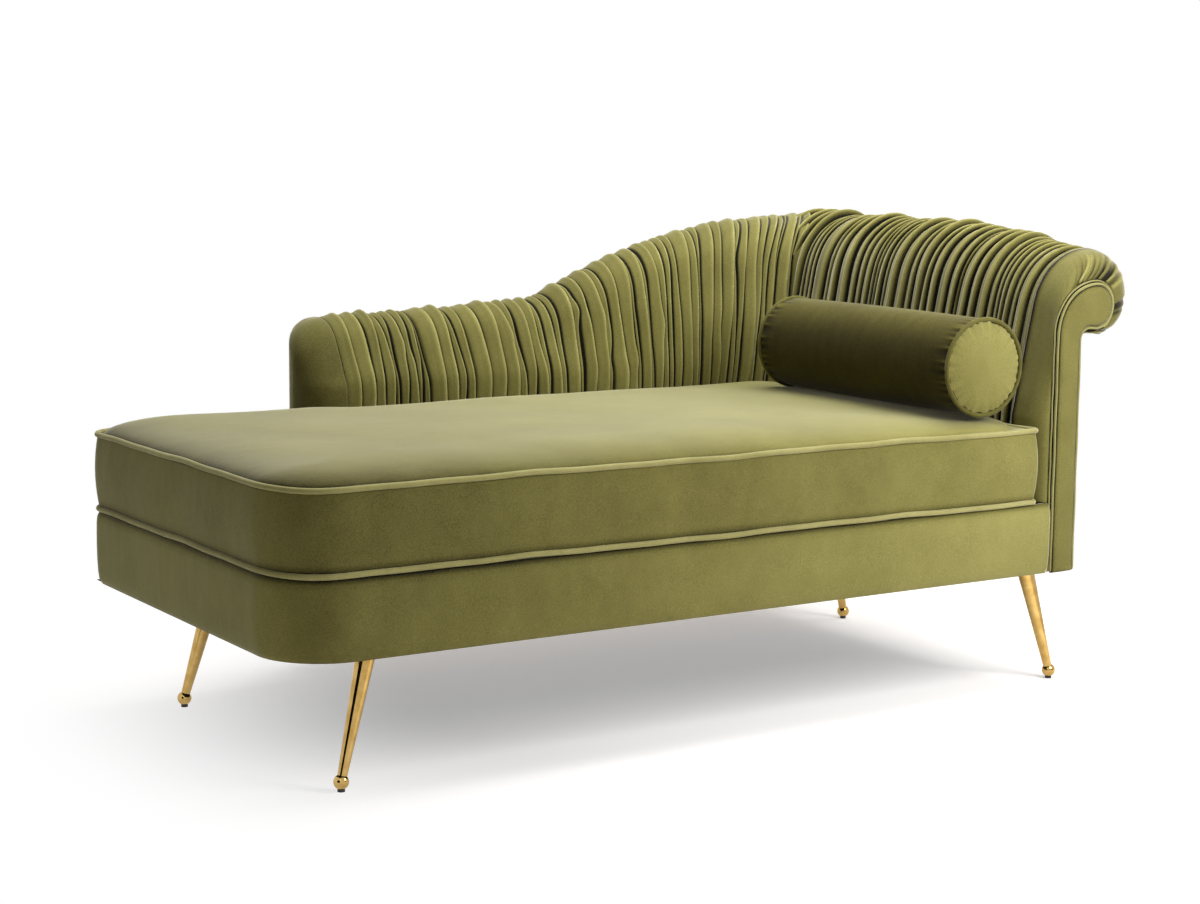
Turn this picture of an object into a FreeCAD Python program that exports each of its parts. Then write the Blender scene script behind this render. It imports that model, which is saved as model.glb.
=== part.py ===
"""Chaise longue: boxed seat on a padded base, pleated swoop back, scroll arm, bolster, metal legs.

Bench frame used while modelling: x runs from the foot end to the head end, y from the front to
the back, z up from the floor. Every sub-part is then placed so that the part's origin lies on the
floor under the centre of its bounding box.
"""
import FreeCAD, Part
import Sketcher
import math
import os
import re

V = FreeCAD.Vector
doc = FreeCAD.newDocument("chaise_longue")
sub_parts = []

# Driving sizes in millimetres, angles in degrees
DRIVING = {
    "seat_length": 1352, "seat_depth": 728, "leg_height": 200, "base_height": 117,
    "band_height": 118, "crown_rise": 25, "crown_run": 150, "foot_radius": 110,
    "rear_radius": 36, "head_radius": 14, "least_corner": 6, "side_draw": 6, "welt_radius": 4.75,
    "seat_gap": 1, "skin": 8, "lip": 12, "rail_thickness": 25, "rail_height": 102,
    "block_height": 45, "block_length": 189, "block_depth": 111, "head_block_width": 58,
    "cross_rail_width": 60, "web_thickness": 1.5, "web_width": 60, "web_pitch": 130,
    "web_edge": 2, "web_set_in": 32.5, "cloth": 1, "cushion_skin": 10, "arm_thickness": 80,
    "arm_crown_out": 150, "arm_top_radius": 113, "arm_roll_radius": 70,
    "arm_top_height": 763, "arm_drop": 35, "arm_drop_run": 400, "arm_band_depth": 67,
    "arm_cloth": 4, "arm_lean_start": 457, "tuck_angle": 5.5, "tuck_radius": 12,
    "panel_inset": 32, "panel_top_radius": 80, "panel_roll_radius": 34,
    "panel_top_height": 673, "panel_thickness": 8, "edge_welt_radius": 4,
    "back_start": 437, "back_set_in": 33, "back_thickness": 135, "back_low_height": 598.6,
    "back_high_height": 756, "back_top_radius": 75, "back_crown_out": 105,
    "back_edge_radius": 12, "least_edge": 1, "least_end_edge": 2,
    "back_lean_start": 500, "end_lean_start": 490,
    "back_end_drop": 60, "back_lip": 16, "rear_edge_room": 2,
    "sweep_dip_radius": 220, "sweep_rise_radius": 1210, "sweep_end": 33, "crown_slope": 2.1,
    "pleat_pitch": 23, "pleat_depth": 5, "pleat_crest": 0.75, "cover_thickness": 10,
    "pad_thickness": 28,
    "back_pad_thickness": 45, "top_pad": 40, "top_rail_depth": 70, "back_frame_cover": 8,
    "back_cloth": 6, "rib_thickness": 18, "rear_rib_thickness": 21, "front_rib_set_in": 40,
    "mid_rib_at": 380, "roll_pole_radius": 22, "board": 5, "post_width": 42, "post_set_in": 4,
    "plank_height": 40, "rail_set_up": 20,
    "leg_inset_x": 117, "leg_inset_y": 73, "leg_splay_x": 50, "leg_splay_y": 16,
    "rear_leg_inset": 111, "head_leg_inset": 29, "leg_top_radius": 15, "leg_neck_radius": 6.75,
    "ball_radius": 11.25, "ball_height": 14, "glide_radius": 5.5, "glide_height": 4,
    "plate_side": 58, "plate_thickness": 3, "screw_radius": 2, "screw_head_radius": 4,
    "screw_pitch": 42, "screw_length": 22, "stud_radius": 4, "stud_below": 30,
    "stud_above": 16, "fastener_gap": 0.1, "bolster_radius": 80, "bolster_length": 510,
    "bolster_end_radius": 78, "bolster_end_thickness": 5, "bolster_front": 33,
    "bolster_from_head": 98, "bolster_skin": 10, "bolster_lift": -0.3, "bolster_welt": 3.5,
    "rest_gap": 0.3, "loose_gap": 0.5,
}

# Levels and lines that several sub-parts share, each a formula of the driving sizes
DERIVED = {
    "deck_top": "leg_height + base_height",
    "frame_bottom": "leg_height + plate_thickness",
    "frame_top": "frame_bottom + rail_height",
    "web_top": "frame_top + 2 * web_thickness",
    "pad_bottom": "web_top + loose_gap",
    "arm_inner": "seat_length + seat_gap",
    "arm_outer": "arm_inner + arm_thickness",
    "arm_crown": "arm_inner + arm_crown_out",
    "band_rear": "panel_thickness + arm_band_depth",
    "panel_inner": "arm_inner + panel_inset",
    "panel_outer": "arm_outer - edge_welt_radius",
    "back_face": "seat_depth - back_set_in",
    "back_rear": "back_face + back_thickness",
    "back_middle": "back_face + back_thickness / 2",
    "frame_rear": "back_rear - back_frame_cover",
    "rear_rib_front": "frame_rear - rear_rib_thickness",
    "board_front": "back_face + cover_thickness + back_pad_thickness",
    "seat_frame_rear": "seat_depth - skin",
    "rail_inner": "skin + rail_thickness",
    "cushion_bottom": "deck_top + rest_gap",
    "lower_welt": "cushion_bottom + welt_radius",
    "upper_welt": "lower_welt + band_height",
    "cushion_crown": "upper_welt + crown_rise",
    "head_leg_at": "arm_outer - head_leg_inset",
    "rear_leg_at": "seat_depth - rear_leg_inset",
    "leg_length": "(leg_splay_x ^ 2 + leg_splay_y ^ 2 + (leg_height - ball_height) ^ 2) ^ 0.5",
    "half_length": "(arm_crown + arm_roll_radius) / 2",
    "half_depth": "back_rear / 2",
}


def linked(formula):
    """A formula of named sizes with each name turned into a reference to its sheet."""
    def to_cell(match):
        word = match.group()
        sheet = "sizes." if word in DRIVING else "fits." if word in DERIVED else ""
        return sheet + word
    return re.sub(r"[a-z_]+", to_cell, str(formula))


def fill_sheet(name, entries, as_text):
    """Adds a sheet with one aliased cell for each entry."""
    sheet = doc.addObject("Spreadsheet::Sheet", name)
    for row, (alias, value) in enumerate(entries.items(), start=1):
        sheet.set("A%d" % row, alias)
        sheet.set("B%d" % row, as_text(value))
        sheet.setAlias("B%d" % row, alias)
    doc.recompute()
    return {alias: float(sheet.get(alias)) for alias in entries}


size = fill_sheet("sizes", DRIVING, str)
size.update(fill_sheet("fits", DERIVED, lambda formula: "=" + linked(formula)))
TO_PART_FRAME = V(-size["half_length"], -size["half_depth"], 0)
TUCK = math.radians(size["tuck_angle"])
SLOPE = math.radians(size["crown_slope"])

# Straight runs of an arc in a pleat, sections along the arm's falling crown, how far cutters run past
ARC_RUNS = 5
DROP_RUNS = 6
PAST = 1
PAST_OUTER = 5

# Turns in degrees at which the rounded forms have their sections
CROWN_TURNS = (15, 35, 55, 75, 90)
BAND_TURNS = (90, 75, 60, 42, 21, 0)
END_TURNS = (0, 20, 40, 57, 70, 80)

# Where the sides of the cushion have their sections, and the base cover's height shares and insets
SIDE_SHARES = (0, 0.2, 0.5, 0.8, 1)
BASE_PROFILE = ((0, 7.5), (0.05, 2), (0.17, 0.5), (0.5, 0), (0.85, 0.5), (0.95, 3), (1, 9))


def bind(obj, **formulas):
    """Binds properties of an object to formulas of the sheets."""
    for name, formula in formulas.items():
        obj.setExpression(name.replace("__", "."), linked(formula))
    return obj


def bind_place(obj, at_x, at_y, at_z):
    """Binds the position of an object to formulas."""
    return bind(obj, Placement__Base__x=at_x, Placement__Base__y=at_y, Placement__Base__z=at_z)


def keep(obj, label):
    """Names a sub-part."""
    obj.Label = label
    sub_parts.append(obj)
    return obj


def keep_shifted(obj, label):
    """Names a sub-part built in the bench frame and moves it to the part's frame."""
    bind_place(obj, "-half_length", "-half_depth", "0")
    return keep(obj, label)


def keep_shape(label, shape):
    """A sub-part whose form needs sections of its own, from a shape in the bench frame."""
    feature = doc.addObject("Part::Feature", label)
    feature.Shape = shape
    feature.Placement = FreeCAD.Placement(TO_PART_FRAME, FreeCAD.Rotation())
    return keep(feature, label)


def tool_shape(name, shape):
    """A helper shape in the bench frame for a boolean."""
    feature = doc.addObject("Part::Feature", name)
    feature.Shape = shape
    return feature


def block(name, along, across, up, shift_x="0", shift_y="0"):
    """A box between pairs of formulas along x, y and z."""
    box = doc.addObject("Part::Box", name)
    bind(box, Length="(%s) - (%s)" % (along[1], along[0]), Width="(%s) - (%s)" % (across[1], across[0]),
         Height="(%s) - (%s)" % (up[1], up[0]))
    return bind_place(box, "%s - (%s)" % (along[0], shift_x), "%s - (%s)" % (across[0], shift_y), up[0])


def keep_block(label, along, across, up):
    """A plain timber or sheet sub-part between pairs of formulas."""
    return keep(block(label, along, across, up, "half_length", "half_depth"), label)


def rod(name, radius, height, place):
    """An upright cylinder at a position given by formulas."""
    cylinder = doc.addObject("Part::Cylinder", name)
    bind(cylinder, Radius=radius, Height=height)
    return bind_place(cylinder, *place)


def group(name, members):
    """Several separate solids in one object."""
    bundle = doc.addObject("Part::Compound", name)
    bundle.Links = members
    return bundle


def cut(name, base, tool):
    """One object less another."""
    result = doc.addObject("Part::Cut", name)
    result.Base = base
    result.Tool = tool
    return result


def common(name, base, tool):
    """What two objects share."""
    result = doc.addObject("Part::Common", name)
    result.Base = base
    result.Tool = tool
    return result


def fuse(name, members):
    """Several objects joined into one solid."""
    result = doc.addObject("Part::MultiFuse", name)
    result.Shapes = members
    result.Refine = True
    return result


def on_bearing(centre, radius, degrees):
    """The point of a circle at an angle from the first axis."""
    angle = math.radians(degrees)
    return (centre[0] + radius * math.cos(angle), centre[1] + radius * math.sin(angle))


def chain(steps, put, closed=True):
    """A wire from a start point, line ends as (u, w) and arcs as (through, end)."""
    edges = []
    here = steps[0]
    for step in steps[1:]:
        if isinstance(step[0], tuple):
            edges.append(Part.Arc(put(*here), put(*step[0]), put(*step[1])).toShape())
            here = step[1]
        else:
            edges.append(Part.LineSegment(put(*here), put(*step)).toShape())
            here = step
    if closed and math.dist(here, steps[0]) > 1e-6:
        edges.append(Part.LineSegment(put(*here), put(*steps[0])).toShape())
    return Part.Wire(edges)


def at_x(x):
    """Puts section coordinates (y, z) into the plane at x."""
    return lambda y, z: V(x, y, z)


def at_y(y):
    """Puts section coordinates (x, z) into the plane at y."""
    return lambda x, z: V(x, y, z)


def at_z(z):
    """Puts plan coordinates (x, y) into the plane at z."""
    return lambda x, y: V(x, y, z)


def faceted(steps):
    """The same steps with each arc as short straight runs."""
    plain = [steps[0]]
    for step in steps[1:]:
        if isinstance(step[0], tuple):
            arc = Part.Arc(V(*plain[-1], 0), V(*step[0], 0), V(*step[1], 0)).toShape()
            plain += [(point.x, point.y) for point in arc.discretize(Number=ARC_RUNS + 1)[1:]]
        else:
            plain.append(step)
    return plain


def slab(steps, put, travel):
    """A closed outline pushed along a vector."""
    return Part.Face(chain(steps, put)).extrude(travel)


def tube(steps, put, radius, normal):
    """A round tube along an open chain; normal is the chain's direction at its start."""
    path = chain(steps, put, closed=False)
    ring = Part.Wire(Part.makeCircle(radius, put(*steps[0]), normal))
    return path.makePipeShell([ring], True, False)


def between(start, end, count):
    """Evenly spaced values from start to end."""
    return [start + (end - start) * step / count for step in range(count + 1)]


def pleat_stations(start, end):
    """Places and offsets of knife pleats: a slow rise to each crest and a quick fall to the valley."""
    count = round((end - start) / size["pleat_pitch"])
    pitch = (end - start) / count
    stations = [(start, -size["pleat_depth"])]
    for index in range(count):
        stations.append((start + (index + size["pleat_crest"]) * pitch, 0))
        stations.append((start + (index + 1) * pitch, -size["pleat_depth"]))
    return stations


# Plan of the seat: rounded corners at the foot, small ones at the head
def seat_plan(inset, rear_inset, length):
    """Steps of the seat's outline in plan, drawn in by an inset."""
    least = size["least_corner"]
    front = max(size["foot_radius"] - inset, least)
    rear = max(size["rear_radius"] - rear_inset, least)
    head = max(size["head_radius"] - inset, least)
    x0, y0 = inset, inset
    x1, y1 = length - inset, size["seat_depth"] - rear_inset
    return [
        (x0 + front, y0), (x1 - head, y0),
        (on_bearing((x1 - head, y0 + head), head, -45), (x1, y0 + head)), (x1, y1 - head),
        (on_bearing((x1 - head, y1 - head), head, 45), (x1 - head, y1)), (x0 + rear, y1),
        (on_bearing((x0 + rear, y1 - rear), rear, 135), (x0, y1 - rear)), (x0, y0 + front),
        (on_bearing((x0 + front, y0 + front), front, 225), (x0 + front, y0)),
    ]


def seat_prism(inset, low, high, length):
    """A prism of the seat's plan."""
    return slab(seat_plan(inset, inset, length), at_z(low), V(0, 0, high - low))


def back_foot_print(gap, low, high):
    """The space that the upright back takes above the seat, with its rounded foot end."""
    radius = size["back_thickness"] / 2 + gap
    centre = (size["back_start"], size["back_middle"])
    far = size["arm_crown"] + size["arm_roll_radius"]
    steps = [
        (far, centre[1] - radius), (centre[0], centre[1] - radius),
        (on_bearing(centre, radius, 225), (centre[0] - radius, centre[1])),
        (on_bearing(centre, radius, 135), (centre[0], centre[1] + radius)),
        (far, centre[1] + radius),
    ]
    return slab(steps, at_z(low), V(0, 0, high - low))


# Section of the scroll arm, in (x, z)
def scroll(inner, crown_x, crown_z, top_radius, roll_radius, outer, lean_start, fold, bottom):
    """Up the inner face, over the top, round the roll, along its underside and down the outer face."""
    top_centre = (crown_x, crown_z - top_radius)
    roll_centre = (crown_x, crown_z - roll_radius)
    run = crown_x - inner
    rise = top_centre[1] - lean_start
    lean = math.degrees(math.acos(min(top_radius / math.hypot(run, rise), 1)) - math.atan2(rise, run))
    touch = on_bearing(top_centre, top_radius, 180 - lean)
    under = on_bearing(roll_centre, roll_radius, -90 - size["tuck_angle"])
    fold_x = outer + fold
    fold_z = under[1] + (under[0] - fold_x) * math.tan(TUCK) - fold / math.cos(TUCK)
    fold_centre = (fold_x, fold_z)
    return [
        (inner, bottom), (inner, lean_start), touch,
        (on_bearing(top_centre, top_radius, 135 - lean / 2), (crown_x, crown_z)),
        (on_bearing(roll_centre, roll_radius, 45), on_bearing(roll_centre, roll_radius, 0)),
        (on_bearing(roll_centre, roll_radius, -45 - size["tuck_angle"] / 2), under),
        on_bearing(fold_centre, fold, 90 - size["tuck_angle"]),
        (on_bearing(fold_centre, fold, 135 - size["tuck_angle"] / 2), (outer, fold_z)),
        (outer, bottom),
    ]


def arm_top(y):
    """Height of the arm's crown line at y: it dips towards the front."""
    reach = (y - size["band_rear"]) / size["arm_drop_run"]
    return size["arm_top_height"] - size["arm_drop"] * max(1 - max(reach, 0), 0) ** 2


def arm_section(y, offset, outer, bottom):
    """The arm's section at y, grown by an offset."""
    return scroll(size["arm_inner"] - offset, size["arm_crown"], arm_top(y) + offset,
                  size["arm_top_radius"] + offset, size["arm_roll_radius"] + offset, outer,
                  size["arm_lean_start"], size["tuck_radius"], bottom)


def arm_solid(offset, front, rear, outer, bottom):
    """The arm as a filled solid between two places along y."""
    drop_end = size["band_rear"] + size["arm_drop_run"]
    stations = [y for y in between(size["band_rear"], drop_end, DROP_RUNS) if front < y < rear]
    wires = [chain(arm_section(y, offset, outer, bottom), at_y(y)) for y in [front] + stations + [rear]]
    return Part.makeLoft(wires, True, True)


# Crown line of the back: a low line, a dip, a rise and a high line, all tangent
def sweep_nodes():
    """Where the crown line's pieces meet, with the centres of its two arcs."""
    low = (size["back_start"], size["back_low_height"])
    high = (size["arm_inner"] + size["sweep_end"], size["back_high_height"])
    apart = (high[1] - low[1]) * math.cos(SLOPE) - (high[0] - low[0]) * math.sin(SLOPE)
    total = size["sweep_dip_radius"] + size["sweep_rise_radius"]
    turn = math.acos(1 - apart / total)
    reach = total * math.sin(turn)
    start = (high[0] - reach * math.cos(SLOPE) + apart * math.sin(SLOPE),
             high[1] - reach * math.sin(SLOPE) - apart * math.cos(SLOPE))
    bearing = math.degrees(SLOPE)
    dip_centre = on_bearing(start, size["sweep_dip_radius"], bearing + 90)
    rise_centre = on_bearing(high, size["sweep_rise_radius"], bearing - 90)
    steep = bearing + math.degrees(turn)
    middle = on_bearing(dip_centre, size["sweep_dip_radius"], steep - 90)
    return {"start": start, "middle": middle, "end": high, "dip": dip_centre, "rise": rise_centre,
            "bearing": bearing, "steep": steep}


SWEEP = sweep_nodes()


def back_top(x):
    """Height of the back's crown line at x."""
    start, middle, end = SWEEP["start"], SWEEP["middle"], SWEEP["end"]
    if x <= start[0]:
        return start[1] + (x - start[0]) * math.tan(SLOPE)
    if x <= middle[0]:
        return SWEEP["dip"][1] - math.sqrt(size["sweep_dip_radius"] ** 2 - (x - SWEEP["dip"][0]) ** 2)
    if x <= end[0]:
        return SWEEP["rise"][1] + math.sqrt(size["sweep_rise_radius"] ** 2 - (x - SWEEP["rise"][0]) ** 2)
    return end[1] + (x - end[0]) * math.tan(SLOPE)


def sweep_steps(first, last, drop):
    """The crown line from x first to x last, lowered by a drop, as chain steps."""
    half = (SWEEP["bearing"] + SWEEP["steep"]) / 2
    dip_half = on_bearing(SWEEP["dip"], size["sweep_dip_radius"], half - 90)
    rise_half = on_bearing(SWEEP["rise"], size["sweep_rise_radius"], half + 90)

    def lowered(point):
        return (point[0], point[1] - drop)
    return [
        (first, back_top(first) - drop), lowered(SWEEP["start"]),
        (lowered(dip_half), lowered(SWEEP["middle"])),
        (lowered(rise_half), lowered(SWEEP["end"])), (last, back_top(last) - drop),
    ]


def back_silhouette(first, last, drop, bottom, front, rear):
    """A slab under the crown line, lowered by a drop, between two places along y."""
    steps = sweep_steps(first, last, drop) + [(last, bottom), (first, bottom)]
    return slab(steps, at_y(front), V(0, rear - front, 0))


def back_profile(face, crown_y, crown_z, top_radius, rear, edge_radius, lean_start, bottom):
    """Section of the back in (y, z): up the face, over the top and down the rear."""
    centre = (crown_y, crown_z - top_radius)
    run = crown_y - face
    rise = centre[1] - lean_start
    lean = math.degrees(math.acos(min(top_radius / math.hypot(run, rise), 1)) - math.atan2(rise, run))
    edge_centre = (rear - edge_radius, crown_z - edge_radius)
    return [
        (face, bottom), (face, lean_start), on_bearing(centre, top_radius, 180 - lean),
        (on_bearing(centre, top_radius, 135 - lean / 2), (crown_y, crown_z)),
        (edge_centre[0], crown_z), (on_bearing(edge_centre, edge_radius, 45), (rear, edge_centre[1])),
        (rear, bottom),
    ]


def back_section(x, offset, rear, bottom):
    """The back's section at x, grown by an offset."""
    edge = max(size["back_edge_radius"] + offset, size["least_edge"])
    return back_profile(size["back_face"] - offset, size["back_face"] + size["back_crown_out"],
                        back_top(x) + offset, size["back_top_radius"] + offset, rear, edge,
                        size["back_lean_start"], bottom)


def back_solid(offset, first, last, rear, bottom):
    """The back as a filled solid between two places along x."""
    stations = between(first, last, round((last - first) / (2 * size["pleat_pitch"])))
    wires = [chain(back_section(x, offset, rear, bottom), at_x(x)) for x in stations]
    return Part.makeLoft(wires, True, True)


def arm_space():
    """What the arm takes from the back: its filled form and the room under its roll."""
    front, rear = size["mid_rib_at"], size["back_rear"] + PAST
    form = arm_solid(size["rest_gap"], front, rear, size["arm_outer"], size["frame_top"])
    roll_middle = size["arm_top_height"] - size["arm_roll_radius"]
    under_roll = Part.makeBox(size["arm_roll_radius"] + size["arm_crown"] - size["arm_outer"], rear - front,
                              roll_middle - size["frame_top"],
                              V(size["arm_outer"] - size["rest_gap"], front, size["frame_top"]))
    return form.fuse(under_roll)


ARM_SPACE = arm_space()
BACK_FAR = size["arm_crown"]


# Padded base: hardwood rails, corner blocks, cross rails and leg blocks
def base_rails():
    """Four rails and two rounded corner blocks."""
    level = ("frame_bottom", "frame_top")
    keep_block("base_front_rail", ("foot_radius", "arm_outer"), ("skin", "rail_inner"), level)
    keep_block("base_rear_rail", ("rear_radius", "arm_outer"),
               ("seat_frame_rear - rail_thickness", "seat_frame_rear"), level)
    keep_block("base_foot_rail", ("skin", "rail_inner"), ("foot_radius", "seat_depth - rear_radius"), level)
    corner_block("base_corner_front_foot", "foot_radius", "foot_radius", 180)
    corner_block("base_corner_rear_foot", "rear_radius", "seat_depth - rear_radius", 90)


def corner_block(label, radius, centre_y, turn):
    """A quarter ring that joins two rails."""
    place = (radius, centre_y, "frame_bottom")
    ring = cut(label, rod(label + "_outer", radius + " - skin", "rail_height", place),
               rod(label + "_inner", radius + " - rail_inner", "rail_height", place))
    for cylinder in (ring.Base, ring.Tool):
        cylinder.Angle = 90
        cylinder.Placement.Rotation = FreeCAD.Rotation(V(0, 0, 1), turn)
    keep_shifted(ring, label)


def cross_rails():
    """Three low rails across the base."""
    members = []
    for index in range(3):
        centre = "rail_inner + (arm_outer - 2 * rail_thickness) * %d / 4" % (index + 1)
        members.append(block("cross_rail_%d" % index, (centre + " - rail_thickness / 2",
                                                       centre + " + rail_thickness / 2"),
                             ("rail_inner", "seat_frame_rear - rail_thickness"),
                             ("frame_bottom", "frame_bottom + cross_rail_width")))
    keep_shifted(group("base_cross_rails", members), "base_cross_rails")


# The four legs: where each meets the frame and which way it splays
LEGS = {
    "front_foot": ("leg_inset_x + leg_splay_x", "leg_inset_y + leg_splay_y", -1, -1),
    "front_head": ("head_leg_at", "leg_inset_y + leg_splay_y", 1, -1),
    "rear_foot": ("leg_inset_x + leg_splay_x", "rear_leg_at", -1, 1),
    "rear_head": ("head_leg_at", "rear_leg_at", 1, 1),
}
RISE = size["leg_height"] - size["ball_height"]


def leg_axis(out_x, out_y):
    """Direction of a leg from its ball to its top."""
    return V(-out_x * size["leg_splay_x"], -out_y * size["leg_splay_y"], RISE)


def leaning(obj, axis):
    """Turns an object from upright onto a leg's axis."""
    obj.Placement.Rotation = FreeCAD.Rotation(V(0, 0, 1), axis)
    return obj


def along_leg(at, splay, sign, back_off):
    """Formula of a coordinate on a leg's axis, a distance below the leg's top."""
    return "%s + %d * %s * (%s) / leg_length" % (at, sign, splay, back_off)


def leg_height_at(back_off):
    """Formula of a height on a leg's axis, a distance below the leg's top."""
    return "leg_height - (leg_height - ball_height) * (%s) / leg_length" % back_off


def stud_rod(name, radius, side):
    """A rod on a leg's axis through its top."""
    top_x, top_y, out_x, out_y = LEGS[side]
    place = (along_leg(top_x, "leg_splay_x", out_x, "stud_below"),
             along_leg(top_y, "leg_splay_y", out_y, "stud_below"), leg_height_at("stud_below"))
    return leaning(rod(name, radius, "stud_below + stud_above", place), leg_axis(out_x, out_y))


def screw_places(side):
    """Formulas of the four screw places of a leg's plate."""
    top_x, top_y = LEGS[side][:2]
    return [("%s + %d * screw_pitch / 2" % (top_x, step_x), "%s + %d * screw_pitch / 2" % (top_y, step_y))
            for step_x in (-1, 1) for step_y in (-1, 1)]


def fasteners():
    """Screws and studs as groups, and the holes they need as one tool."""
    screws, studs, holes = [], [], []
    under = "leg_height - cloth"
    for side in LEGS:
        studs.append(stud_rod("stud_" + side, "stud_radius", side))
        holes.append(stud_rod("stud_hole_" + side, "stud_radius + fastener_gap", side))
        for index, (at_across, at_along) in enumerate(screw_places(side)):
            name = "%s_%d" % (side, index)
            place = (at_across, at_along, under)
            shank = rod("shank_" + name, "screw_radius", "screw_length", place)
            head = rod("head_" + name, "screw_head_radius", "plate_thickness - cloth", place)
            screws.append(fuse("screw_" + name, [shank, head]))
            holes.append(rod("hole_" + name, "screw_radius + fastener_gap", "screw_length + cloth", place))
            holes.append(rod("counterbore_" + name, "screw_head_radius + fastener_gap",
                             "plate_thickness - cloth", place))
    keep_shifted(group("leg_plate_screws", screws), "leg_plate_screws")
    keep_shifted(group("leg_studs", studs), "leg_studs")
    return group("fastener_holes", holes)


def leg_blocks(holes):
    """A hardwood block in each corner of the base takes the leg's stud and screws."""
    level = ("frame_bottom", "frame_bottom + block_height")
    front = ("rail_inner", "rail_inner + block_depth")
    foot = ("rail_inner", "rail_inner + block_length")
    head = ("arm_outer - rail_thickness - head_block_width", "arm_outer - rail_thickness")
    rear_foot = ("seat_depth - rear_radius - block_depth", "seat_depth - rear_radius")
    rear_head = ("seat_frame_rear - rail_thickness - block_depth", "seat_frame_rear - rail_thickness")
    corner = rod("block_corner", "foot_radius - rail_inner", "block_height",
                 ("foot_radius", "foot_radius", "frame_bottom"))
    rounded = fuse("rounded_block", [
        corner, block("block_side", ("foot_radius", foot[1]), front, level),
        block("block_end", foot, ("foot_radius", front[1]), level)])
    inside = block("block_inside", foot, front, level)
    bases = {
        "front_foot": common("front_foot_block", rounded, inside),
        "front_head": block("front_head_block", head, front, level),
        "rear_foot": block("rear_foot_block", foot, rear_foot, level),
        "rear_head": block("rear_head_block", head, rear_head, level),
    }
    for side, base in bases.items():
        label = "leg_block_" + side
        keep_shifted(cut(label, base, holes), label)


def head_rail(holes):
    """The rail under the arm, drilled for the outer screws of the head legs."""
    blank = block("head_rail_blank", ("arm_outer - rail_thickness", "arm_outer"),
                  ("rail_inner", "seat_frame_rear - rail_thickness"), ("frame_bottom", "frame_top"))
    keep_shifted(cut("base_head_rail", blank, holes), "base_head_rail")


def leg_plates(holes):
    """A steel plate over each leg."""
    members = []
    for side, (top_x, top_y, _, _) in LEGS.items():
        members.append(block("plate_" + side, (top_x + " - plate_side / 2", top_x + " + plate_side / 2"),
                             (top_y + " - plate_side / 2", top_y + " + plate_side / 2"),
                             ("leg_height - cloth", "frame_bottom - cloth")))
    keep_shifted(cut("leg_plates", group("plate_blanks", members), holes), "leg_plates")


def legs():
    """Turned metal legs that splay out and end in a ball, each on a glide."""
    for side, (top_x, top_y, out_x, out_y) in LEGS.items():
        floor_x = "%s + %d * leg_splay_x" % (top_x, out_x)
        floor_y = "%s + %d * leg_splay_y" % (top_y, out_y)
        taper = doc.addObject("Part::Cone", "taper_" + side)
        bind(taper, Radius1="leg_neck_radius", Radius2="leg_top_radius",
             Height="leg_length + leg_top_radius / 3")
        leaning(bind_place(taper, floor_x, floor_y, "ball_height"), leg_axis(out_x, out_y))
        ball = doc.addObject("Part::Sphere", "ball_" + side)
        bind(ball, Radius="ball_radius")
        bind_place(ball, floor_x, floor_y, "ball_height")
        turned = fuse("turned_" + side, [taper, ball])
        reach = "2 * leg_splay_x"
        slice_box = block("slice_" + side, ("%s - %s" % (top_x, reach), "%s + %s" % (top_x, reach)),
                          ("%s - %s" % (top_y, reach), "%s + %s" % (top_y, reach)),
                          ("glide_height / 2", "leg_height - cloth"))
        sockets = group("sockets_" + side, [
            rod("glide_socket_" + side, "glide_radius + fastener_gap", "glide_height",
                (floor_x, floor_y, "0")),
            stud_rod("stud_socket_" + side, "stud_radius + fastener_gap", side)])
        label = "leg_" + side
        keep_shifted(cut(label, common("trimmed_" + side, turned, slice_box), sockets), label)
        glide = "glide_" + side
        keep(rod(glide, "glide_radius", "glide_height",
                 (floor_x + " - half_length", floor_y + " - half_depth", "0")), glide)


# Deck over the frame: webbing, a thin pad and its cloth, and the dust cover below
def webbing():
    """Straps across and along the frame, one set over the other."""
    low = ("frame_top", "frame_top + web_thickness")
    high = ("frame_top + web_thickness", "web_top")
    across, lengthwise = [], []
    count = int((size["seat_length"] - size["foot_radius"]) / size["web_pitch"])
    for index in range(count):
        start = "foot_radius + web_set_in + web_pitch * %d" % index
        across.append(block("across_%d" % index, (start, start + " + web_width"),
                            ("lip + web_edge", "seat_frame_rear - 2 * web_edge"), low))
    for index in range(3):
        start = "web_pitch + (web_pitch + web_width) * %d" % index
        lengthwise.append(block("lengthwise_%d" % index, ("lip + web_edge", "arm_outer - lip"),
                                (start, start + " + web_width"), high))
    keep_shifted(group("webbing_across", across), "webbing_across")
    keep_shifted(group("webbing_lengthwise", lengthwise), "webbing_lengthwise")


def deck():
    """The padded deck inside the base cover's lip, cut round the upright back."""
    upright = back_foot_print(size["rest_gap"], size["frame_top"], size["arm_top_height"])
    inset = size["lip"] + size["rest_gap"]
    low = size["web_top"] + size["rest_gap"]
    pad_top = size["deck_top"] - size["cloth"]
    full = size["seat_length"] + inset
    keep_shape("deck_pad", seat_prism(inset, low, pad_top, full).cut(upright))
    keep_shape("deck_cover", seat_prism(inset, pad_top, size["deck_top"], full).cut(upright))


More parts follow.
